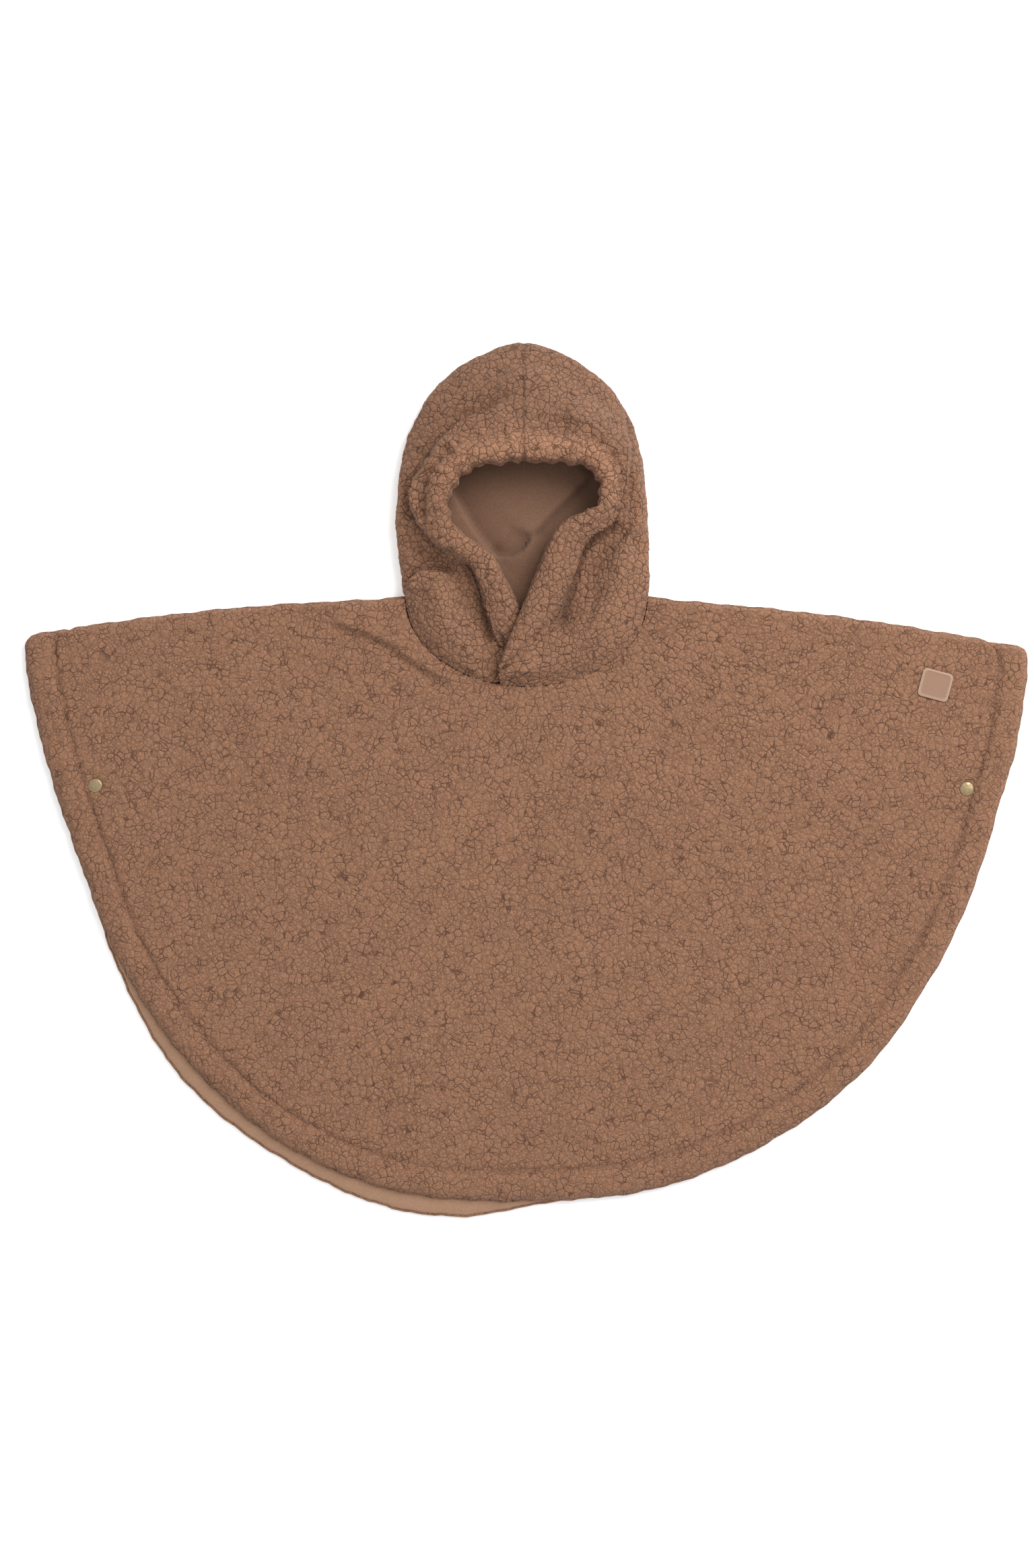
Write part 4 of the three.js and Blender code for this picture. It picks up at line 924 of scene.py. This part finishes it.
def pile_pattern(tree, place, loft):
    """Tuft height, crack and curl of the pile at a place, from 0 to 1. Where loft is 1 it is shaggier."""
    bent = place
    for size, detail, amount in ((PILE.warp_size, 3, PILE.warp), (PILE.curl_warp_size, 2, PILE.curl_warp)):
        drift = tree.added(tree.noise(place, size, detail, "Color"), (0.5, 0.5, 0.5), "SUBTRACT")
        bent = tree.added(bent, tree.scaled(drift, amount))

    def patches(size, detail, limits):
        return tree.ranged(tree.noise(place, size, detail), *limits)

    def cracks(cell, width, share):
        return tree.ranged(tree.voronoi(bent, cell, "DISTANCE_TO_EDGE"), 0.0, width, share, 0.0)

    edge = tree.voronoi(bent, PILE.tuft_size, "DISTANCE_TO_EDGE")
    tuft = tree.ranged(edge, 0.0, PILE.tuft_reach)
    broken = patches(PILE.broken_size, 2, PILE.broken_range)
    broken = tree.plus(broken, tree.times(loft, PILE.loft_crack), clamp=True)
    crack = tree.times(tree.ranged(edge, 0.0, PILE.crack_width, 1.0, 0.0), broken)
    small = tree.times(cracks(PILE.small_size, PILE.small_width, PILE.small_share),
                       patches(PILE.small_patch, 2, PILE.small_range))
    split = tree.times(cracks(PILE.long_size, PILE.long_width, 1.0),
                       patches(PILE.long_patch, 1, PILE.long_range))
    crack = tree.math("MAXIMUM", tree.math("MAXIMUM", crack, small), split)
    curl = tree.voronoi(bent, PILE.curl_size, "SMOOTH_F1", Smoothness=PILE.curl_softness)
    return tuft, crack, tree.ranged(curl, *PILE.curl_range)


def pile_height(tree, tuft, crack, curl):
    high = tree.times(tuft, PILE.tuft_height)
    high = tree.plus(high, tree.times(curl, PILE.curl_height))
    return tree.math("SUBTRACT", high, tree.times(crack, PILE.crack_depth))


def raise_pile(obj, share=1.0, lift=0.0):
    """Moves the points out along their normals by the pile pattern times the pile attribute."""
    group = bpy.data.node_groups.new(f"raise_{obj.name}", "GeometryNodeTree")
    group.interface.new_socket("Geometry", in_out="INPUT", socket_type="NodeSocketGeometry")
    group.interface.new_socket("Geometry", in_out="OUTPUT", socket_type="NodeSocketGeometry")
    tree = Tree(group)
    start = tree.node("NodeGroupInput").outputs[0]
    place = tree.node("GeometryNodeInputPosition").outputs[0]
    stored = tree.node("GeometryNodeStoreNamedAttribute", {"Geometry": start, "Name": "rest", "Value": place},
                       data_type="FLOAT_VECTOR", domain="POINT")
    cover, loft = (tree.node("GeometryNodeInputNamedAttribute", {"Name": key}, data_type="FLOAT")
                   for key in ("pile", "loft"))
    pattern = pile_pattern(tree, place, loft.outputs["Attribute"])
    height = tree.plus(pile_height(tree, *pattern), lift * MM)
    height = tree.times(height, tree.times(cover.outputs["Attribute"], share))
    normal = tree.node("GeometryNodeInputNormal").outputs[0]
    moved = tree.node("GeometryNodeSetPosition",
                      {"Geometry": stored.outputs[0], "Offset": tree.scaled(normal, height)})
    out = tree.node("NodeGroupOutput")
    tree.links.new(moved.outputs[0], out.inputs[0])
    modifier = obj.modifiers.new("pile", "NODES")
    modifier.node_group = group
    graph = bpy.context.evaluated_depsgraph_get()
    mesh = bpy.data.meshes.new_from_object(obj.evaluated_get(graph), depsgraph=graph)
    obj.modifiers.clear()
    mesh.name = obj.name
    obj.data = mesh


# Materials

def material(name, roughness, sheen=0.0, metallic=0.0):
    made = bpy.data.materials.new(name)
    made.use_nodes = True
    tree = Tree(made.node_tree)
    inputs = {"Roughness": roughness, "Metallic": metallic, "Sheen Weight": sheen,
              "Sheen Roughness": SHEEN_ROUGHNESS}
    return made, tree, tree.fill(made.node_tree.nodes["Principled BSDF"], inputs)


def blend_colour(tree, factor, a, b, kind="MIX"):
    inputs = {"Factor": factor, "A": a, "B": b}
    return tree.node("ShaderNodeMix", inputs, data_type="RGBA", blend_type=kind).outputs["Result"]


def layered(tree, colour, *layers):
    """The colour with each layer's colour laid over it by that layer's share."""
    for share, over in layers:
        colour = blend_colour(tree, share, colour, over)
    return colour


SHEEN_ROUGHNESS = 0.6
PILE_LIGHT = (0.335, 0.169, 0.095, 1)
PILE_BASE = (0.268, 0.13, 0.071, 1)
# The darkest pile colour: for its fine dark grain, and for painted shade in cracks, stitch grooves and
# creases
PILE_GRAIN_AND_SHADE = (0.07, 0.026, 0.012, 1)
NAP_LIGHT = (0.39, 0.225, 0.138, 1)
NAP_BASE = (0.333, 0.187, 0.113, 1)
# Darker copy of the nap colours for the hood's lining: painted shade for the hollow, and a darker colour
# again for painted shade in its folds
SHADED_NAP_LIGHT = (0.22, 0.115, 0.068, 1)
SHADED_NAP_BASE = (0.175, 0.088, 0.05, 1)
NAP_PAINTED_SHADE = (0.075, 0.034, 0.018, 1)
METAL_BRIGHT, METAL_DULL = (0.38, 0.285, 0.165, 1), (0.27, 0.19, 0.1, 1)
WEAVE_DARK, WEAVE_LIGHT = (0.27, 0.152, 0.095, 1), (0.39, 0.232, 0.152, 1)
WEAVE_BORDER = (0.46, 0.315, 0.225, 1)
WEAVE_SCALE = 420.0


def pile_material():
    made, tree, shader = material("pile_fleece", 0.95, sheen=0.05)
    rest, loft = tree.stored("rest", "Vector"), tree.stored("loft")
    tuft, crack, curl = pile_pattern(tree, rest, loft)
    fuzz, cloud = tree.noise(rest, PILE.fuzz_size, 3), tree.noise(rest, PILE.cloud_size, 3)
    colour = layered(
        tree, PILE_BASE,
        (tree.ranged(curl, 0.2, 1.0), PILE_LIGHT),
        (tree.ranged(fuzz, 0.4, 0.7, 0.0, 0.5), PILE_LIGHT),
        (tree.ranged(fuzz, 0.3, 0.5, 0.38, 0.0), PILE_GRAIN_AND_SHADE),
        (tree.ranged(cloud, 0.3, 0.7, 0.0, 0.16), PILE_BASE),
        # Painted shade: the cracks between the tufts, and the seam attribute's stitch grooves, seams and
        # crease bottoms, take the darkest colour
        (tree.times(crack, tree.plus(tree.times(loft, 0.05), 0.9)), PILE_GRAIN_AND_SHADE),
        (tree.times(tree.stored("seam"), 0.6), PILE_GRAIN_AND_SHADE))
    # The shade attribute scales the colour: painted shade above 0, painted light below 0
    lit = tree.math("SUBTRACT", 1.0, tree.stored("shade"))
    tree.put(shader.inputs["Base Color"], blend_colour(tree, 1.0, colour, lit, "MULTIPLY"))
    fine = tree.plus(pile_height(tree, tuft, crack, curl), tree.times(fuzz, 0.0005))
    tree.bump(shader, fine, 0.75, 1.0)
    return made


def nap_material(name, base, light, shade_colour=None):
    """Short brushed nap of the smooth side, with painted shade in its folds where a shade colour is given."""
    made, tree, shader = material(name, 0.92, sheen=0.08)
    place = tree.place()
    fine, patch = tree.noise(place, 0.0014, 3), tree.noise(place, 0.012, 3)
    colour = layered(tree, base, (tree.ranged(fine, 0.3, 0.7), light),
                     (tree.ranged(patch, 0.35, 0.65, 0.0, 0.35), base))
    if shade_colour:
        colour = blend_colour(tree, tree.stored("shade"), colour, shade_colour)
    tree.put(shader.inputs["Base Color"], colour)
    tree.bump(shader, fine, 0.5, 0.0006)
    return made


def metal_material():
    made, tree, shader = material("snap_metal", 0.42, metallic=0.75)
    wear = tree.noise(tree.place(), 0.0016, 3)
    colour = blend_colour(tree, tree.ranged(wear, 0.4, 0.7), METAL_BRIGHT, METAL_DULL)
    tree.fill(shader, {"Base Color": colour, "Roughness": tree.ranged(wear, 0.3, 0.7, 0.34, 0.52)})
    tree.bump(shader, wear, 0.2, 0.0002)
    return made


def label_material():
    """Tight plain weave."""
    made, tree, shader = material("label_cloth", 0.8, sheen=0.1)
    inputs = {"Vector": tree.place(), "Rotation": (0, 0, -LABEL_TURN)}
    place = tree.node("ShaderNodeMapping", inputs).outputs[0]
    waves = [tree.node("ShaderNodeTexWave", {"Vector": place, "Scale": WEAVE_SCALE},
                       bands_direction=axis).outputs["Fac"] for axis in ("X", "Y")]
    weave = tree.times(*waves)
    border = tree.times(tree.stored("border"), 0.7)
    colour = layered(tree, WEAVE_DARK, (weave, WEAVE_LIGHT), (border, WEAVE_BORDER))
    tree.put(shader.inputs["Base Color"], colour)
    tree.bump(shader, weave, 0.4, 0.0002)
    return made


def thread_material(name, dark, light):
    made, tree, shader = material(name, 0.75, sheen=0.1)
    twist = tree.noise(tree.place(), 0.0005, 2)
    tree.put(shader.inputs["Base Color"], blend_colour(tree, twist, dark, light))
    tree.bump(shader, twist, 0.4, 0.0001)
    return made


# Small pieces

def skin(base, around, rings, last, first=None):
    """Faces over rings of points that start at the number base, closed by the points last and first."""
    faces = []
    top = base + (rings - 1) * around
    for k in range(around):
        n = (k + 1) % around
        if first is not None:
            faces.append([first, base + n, base + k])
        for ring in range(base, top, around):
            faces.append([ring + k, ring + n, ring + around + n, ring + around + k])
        faces.append([top + k, top + n, last])
    return faces


def lathe(name, profile, centre, segments=56):
    angles = np.linspace(0, 2 * np.pi, segments, endpoint=False)
    rings = [np.stack([centre[0] + r * np.cos(angles), centre[1] + r * np.sin(angles),
                       np.full(segments, float(z))], -1) for r, z in profile[1:-1]]
    points = np.concatenate([*rings, [[*centre, profile[0][1]]], [[*centre, profile[-1][1]]]])
    faces = skin(0, segments, len(rings), len(points) - 1, len(points) - 2)
    return mesh_object(name, points, faces)


def stud_socket(side):
    dome = [(CAP_RADIUS * math.sin(a), CAP_TOP - 1.1 + 1.1 * math.cos(a)) for a in np.linspace(1.5, 0.06, 9)]
    rim = [(CAP_RADIUS - 0.5, CAP_BOTTOM), (CAP_RADIUS, CAP_BOTTOM + 0.3)]
    disc = FRONT_BOTTOM + 0.3
    post = [(0, disc), (5, disc), (5, disc + 1.5), (2, disc + 1.5), (2, CAP_BOTTOM)]
    return lathe(f"snap_front_{side}", [*post, *rim, *dome, (0, CAP_TOP)], STUDS[side])


def stud_knob(side):
    profile = [(0, 0.4), (4.3, 0.4), (5.8, 0.6), (CAP_RADIUS, 1.0), (CAP_RADIUS, 1.9), (2, 1.9), (2, 4.85),
               (5, 4.85), (5, FRONT_BOTTOM), (1.7, FRONT_BOTTOM), (1.5, 7.75), (0, 7.75)]
    return lathe(f"snap_back_{side}", profile, STUDS[side])


def rounded_outline(width, length, corner, per_corner=7):
    outline = []
    for quarter, (right, up) in enumerate(((1, 1), (-1, 1), (-1, -1), (1, -1))):
        x, y = right * (width / 2 - corner), up * (length / 2 - corner)
        for a in np.linspace(0, np.pi / 2, per_corner) + quarter * np.pi / 2:
            outline.append((x + corner * math.cos(a), y + corner * math.sin(a)))
    return np.array(outline)


def on_label(points):
    x, y = turned(points[:, 0], points[:, 1], LABEL_TURN)
    return np.stack([LABEL_CENTRE[0] + x, LABEL_CENTRE[1] + y, points[:, 2]], -1)


def label():
    """A soft-edged patch, a little domed, with its turned edge thicker than its middle."""
    outline = rounded_outline(*LABEL_SIZE, LABEL_CORNER)
    base = FRONT_TOP + SEAM_GAP
    levels = [(0.97, 0.0), (1.0, 0.3), (0.995, 0.7), (0.96, 0.9), (0.88, 0.82), (0.8, 0.66), (0.55, 0.72),
              (0.28, 0.76)]
    rings, border = [], []
    for share, height in levels:
        ripple = 0.05 * wobble(np.arange(len(outline)) * 0.9, share * 7)
        heights = np.full(len(outline), base + height) + ripple * (share < 1)
        rings.append(np.column_stack([outline * share, heights]))
        border += [float(share > 0.85)] * len(outline)
    count = len(outline)
    points = np.concatenate([*rings, [[0, 0, base + 0.77]]])
    faces = [list(range(count))[::-1], *skin(0, count, len(rings), len(points) - 1)]
    return mesh_object("label_patch", on_label(points), faces, border=[*border, 0.0])


def stitches(name, centres, directions, length=2.6, radius=0.42):
    """Short lengths of thread as one mesh, each a tapered six-sided bead along its direction."""
    profile = [(-0.5, 0.0), (-0.42, 0.7), (-0.15, 1.0), (0.15, 1.0), (0.42, 0.7), (0.5, 0.0)]
    sides, sunk = 6, 0.3
    along = unit(directions)
    across = unit(np.cross(along, [0, 0, 1.0]))
    up = np.cross(across, along)
    points, faces = [], []
    per = 2 + (len(profile) - 2) * sides
    for k, (c, t, a, u) in enumerate(zip(centres, along, across, up)):
        start = k * per
        points.append(c + t * length * profile[0][0] - u * sunk)
        for place, share in profile[1:-1]:
            for side in range(sides):
                turn = 2 * math.pi * side / sides
                points.append(c + t * length * place
                              + (a * math.cos(turn) + u * math.sin(turn)) * radius * share)
        points.append(c + t * length * profile[-1][0] - u * sunk)
        faces += skin(start + 1, sides, len(profile) - 2, start + per - 1, start)
    return mesh_object(name, points, faces)


def spaced(points, pitch):
    """Points and directions at even steps along a line of points."""
    steps = np.linalg.norm(np.diff(points, axis=0), axis=1)
    run = np.concatenate([[0], np.cumsum(steps)])
    marks = np.arange(pitch / 2, run[-1], pitch)

    def at(distances):
        return np.stack([np.interp(distances, run, points[:, k]) for k in range(3)], -1)

    return at(marks), at(marks + 0.5) - at(marks - 0.5)


def smoothed(line, rounds=6):
    line = line.copy()
    for _ in range(rounds):
        line[1:-1] = (line[:-2] + line[1:-1] * 2 + line[2:]) / 4
    return line


def hem_stitches(places, top):
    columns = np.argmin(np.abs(places.hem - HEM_WIDTH), axis=1)
    rows = np.arange(len(columns))
    keep = places.shoulder[rows, columns] > 3
    line = np.stack([places.x, places.y, top + STITCH_LIFT], -1)[rows, columns][keep]
    return stitches("thread_hem", *spaced(smoothed(line), STITCH_PITCH))


def hood_stitches(name, hood):
    rows = np.arange(len(hood.ts))
    band = np.array([s.band for s in hood.sections])
    columns = np.argmin(np.abs(hood.distances - band[:, None]), axis=1)
    line = hood.outer[rows, columns] + hood.normals[rows, columns] * STITCH_LIFT
    return stitches(name, *spaced(smoothed(line[hood.ts < LAST_STITCHED_ROW]), STITCH_PITCH))


def label_stitches():
    outline = rounded_outline(LABEL_SIZE[0] - 3.2, LABEL_SIZE[1] - 3.2, LABEL_CORNER * 0.8)
    closed = np.concatenate([outline, outline[:1]])
    line = on_label(np.column_stack([closed, np.full(len(closed), FRONT_TOP + SEAM_GAP + 0.95)]))
    centres, directions = spaced(line, 2.0)
    return stitches("thread_label", centres, directions, length=1.6, radius=0.32)


# The garment

pile, metal = pile_material(), metal_material()
nap = nap_material("smooth_fleece", NAP_BASE, NAP_LIGHT)
# The hood's lining gets the darker copy of the nap: painted shade
shaded_nap = nap_material("smooth_fleece_inside_painted_shade", SHADED_NAP_BASE, SHADED_NAP_LIGHT, NAP_PAINTED_SHADE)
label_cloth = label_material()
thread = thread_material("sewing_thread", (0.2, 0.1, 0.06, 1), (0.3, 0.165, 0.105, 1))
label_thread = thread_material("label_thread", (0.38, 0.25, 0.175, 1), (0.5, 0.35, 0.25, 1))


def finish_piece(obj, surface, slot, *nodes):
    obj.data.materials.clear()
    obj.data.materials.append(surface)
    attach(obj, "root")
    if nodes:
        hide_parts(*nodes)
    return obj


front, front_places, front_top = front_panel()
back = back_panel()
smooth_back = back_lining()
hood_left, left_data = hood_layer("fleece_hood_left", HOOD_LEFT, -1, 0, SHELL, SHELL_FINENESS, True)
hood_right, right_data = hood_layer("fleece_hood_right", HOOD_RIGHT, 1, 0, SHELL, SHELL_FINENESS, True)
lining = (SHELL + SEAM_GAP, SHELL + SEAM_GAP + LINING, LINING_FINENESS, False)
lining_left, _ = hood_layer("smooth_hood_left", HOOD_LEFT, -1, *lining)
lining_right, _ = hood_layer("smooth_hood_right", HOOD_RIGHT, 1, *lining)

raise_pile(front)
raise_pile(back, share=0.5, lift=-2.2)
raise_pile(hood_left)
raise_pile(hood_right)

finish_piece(front, pile, "pile_fleece", "front_panel")
finish_piece(back, pile, "pile_fleece", "back_panel")
finish_piece(hood_left, pile, "pile_fleece", "hood_left")
finish_piece(hood_right, pile, "pile_fleece", "hood_right")
finish_piece(smooth_back, nap, "smooth_fleece", "back_lining")
finish_piece(lining_left, shaded_nap, "smooth_fleece", "hood_lining_left")
finish_piece(lining_right, shaded_nap, "smooth_fleece", "hood_lining_right")
for side in STUDS:
    finish_piece(stud_socket(side), metal, "snap_metal", f"stud_socket_{side}")
    finish_piece(stud_knob(side), metal, "snap_metal", f"stud_knob_{side}")
patch = finish_piece(label(), label_cloth, "label_cloth", "label")
finish_piece(label_stitches(), label_thread, "label_cloth")
finish_piece(hem_stitches(front_places, front_top), thread, "pile_fleece")
finish_piece(hood_stitches("thread_hood_left", left_data), thread, "pile_fleece")
finish_piece(hood_stitches("thread_hood_right", right_data), thread, "pile_fleece")


# Floor, light and camera. The floor is a table lit faintly from below

WHITE = (1, 1, 1, 1)
TABLE_GREY, TABLE_WHITE = (0.93, 0.93, 0.93, 1), (0.95, 0.95, 0.95, 1)
TABLE_GLOW = 0.3
TABLE_HALF = 4000
TABLE_TOP = -0.3
SKY_STRENGTH = 0.75
KEY_PLACE_M, KEY_SIZE_M, KEY_WATTS = (1.75, 1.65, 2.4), 2.0, 99


def floor():
    corners = [(x * TABLE_HALF, y * TABLE_HALF, TABLE_TOP) for x, y in ((-1, -1), (1, -1), (1, 1), (-1, 1))]
    plane = mesh_object("floor", corners, [[0, 1, 2, 3]])
    made, tree, shader = material("paper_floor", 0.9)
    colour = blend_colour(tree, tree.noise(tree.place(), 0.4, 2), TABLE_GREY, TABLE_WHITE)
    tree.fill(shader, {"Base Color": colour, "Emission Color": WHITE, "Emission Strength": TABLE_GLOW})
    plane.data.materials.append(made)


def area_light(name, place, size, power):
    light = bpy.data.lights.new(name, "AREA")
    light.shape, light.size, light.energy = "SQUARE", size, power
    obj = bpy.data.objects.new(name, light)
    obj.location = place
    obj.rotation_euler = (-obj.location).to_track_quat("-Z", "Y").to_euler()
    bpy.context.scene.collection.objects.link(obj)


def studio():
    floor()
    world = bpy.data.worlds.new("studio")
    bpy.context.scene.world = world
    world.use_nodes = True
    sky = Tree(world.node_tree)
    sky.fill(sky.nodes["Background"], {"Color": WHITE, "Strength": SKY_STRENGTH})
    area_light("key", KEY_PLACE_M, KEY_SIZE_M, KEY_WATTS)
    bpy.context.scene.view_settings.view_transform = "Standard"


CAMERA_CENTRE = (-8.2, -4.1)
CAMERA_HEIGHT = 2800
FRAME_HEIGHT = 1372
CLOTH_HEIGHT = 9
SENSOR = 36


def camera():
    data = bpy.data.cameras.new("camera")
    data.sensor_fit, data.sensor_width = "AUTO", SENSOR
    data.lens = SENSOR * (CAMERA_HEIGHT - CLOTH_HEIGHT) / FRAME_HEIGHT
    obj = bpy.data.objects.new("camera", data)
    obj.location = (CAMERA_CENTRE[0] * MM, CAMERA_CENTRE[1] * MM, CAMERA_HEIGHT * MM)
    bpy.context.scene.collection.objects.link(obj)
    bpy.context.scene.camera = obj


studio()
camera()
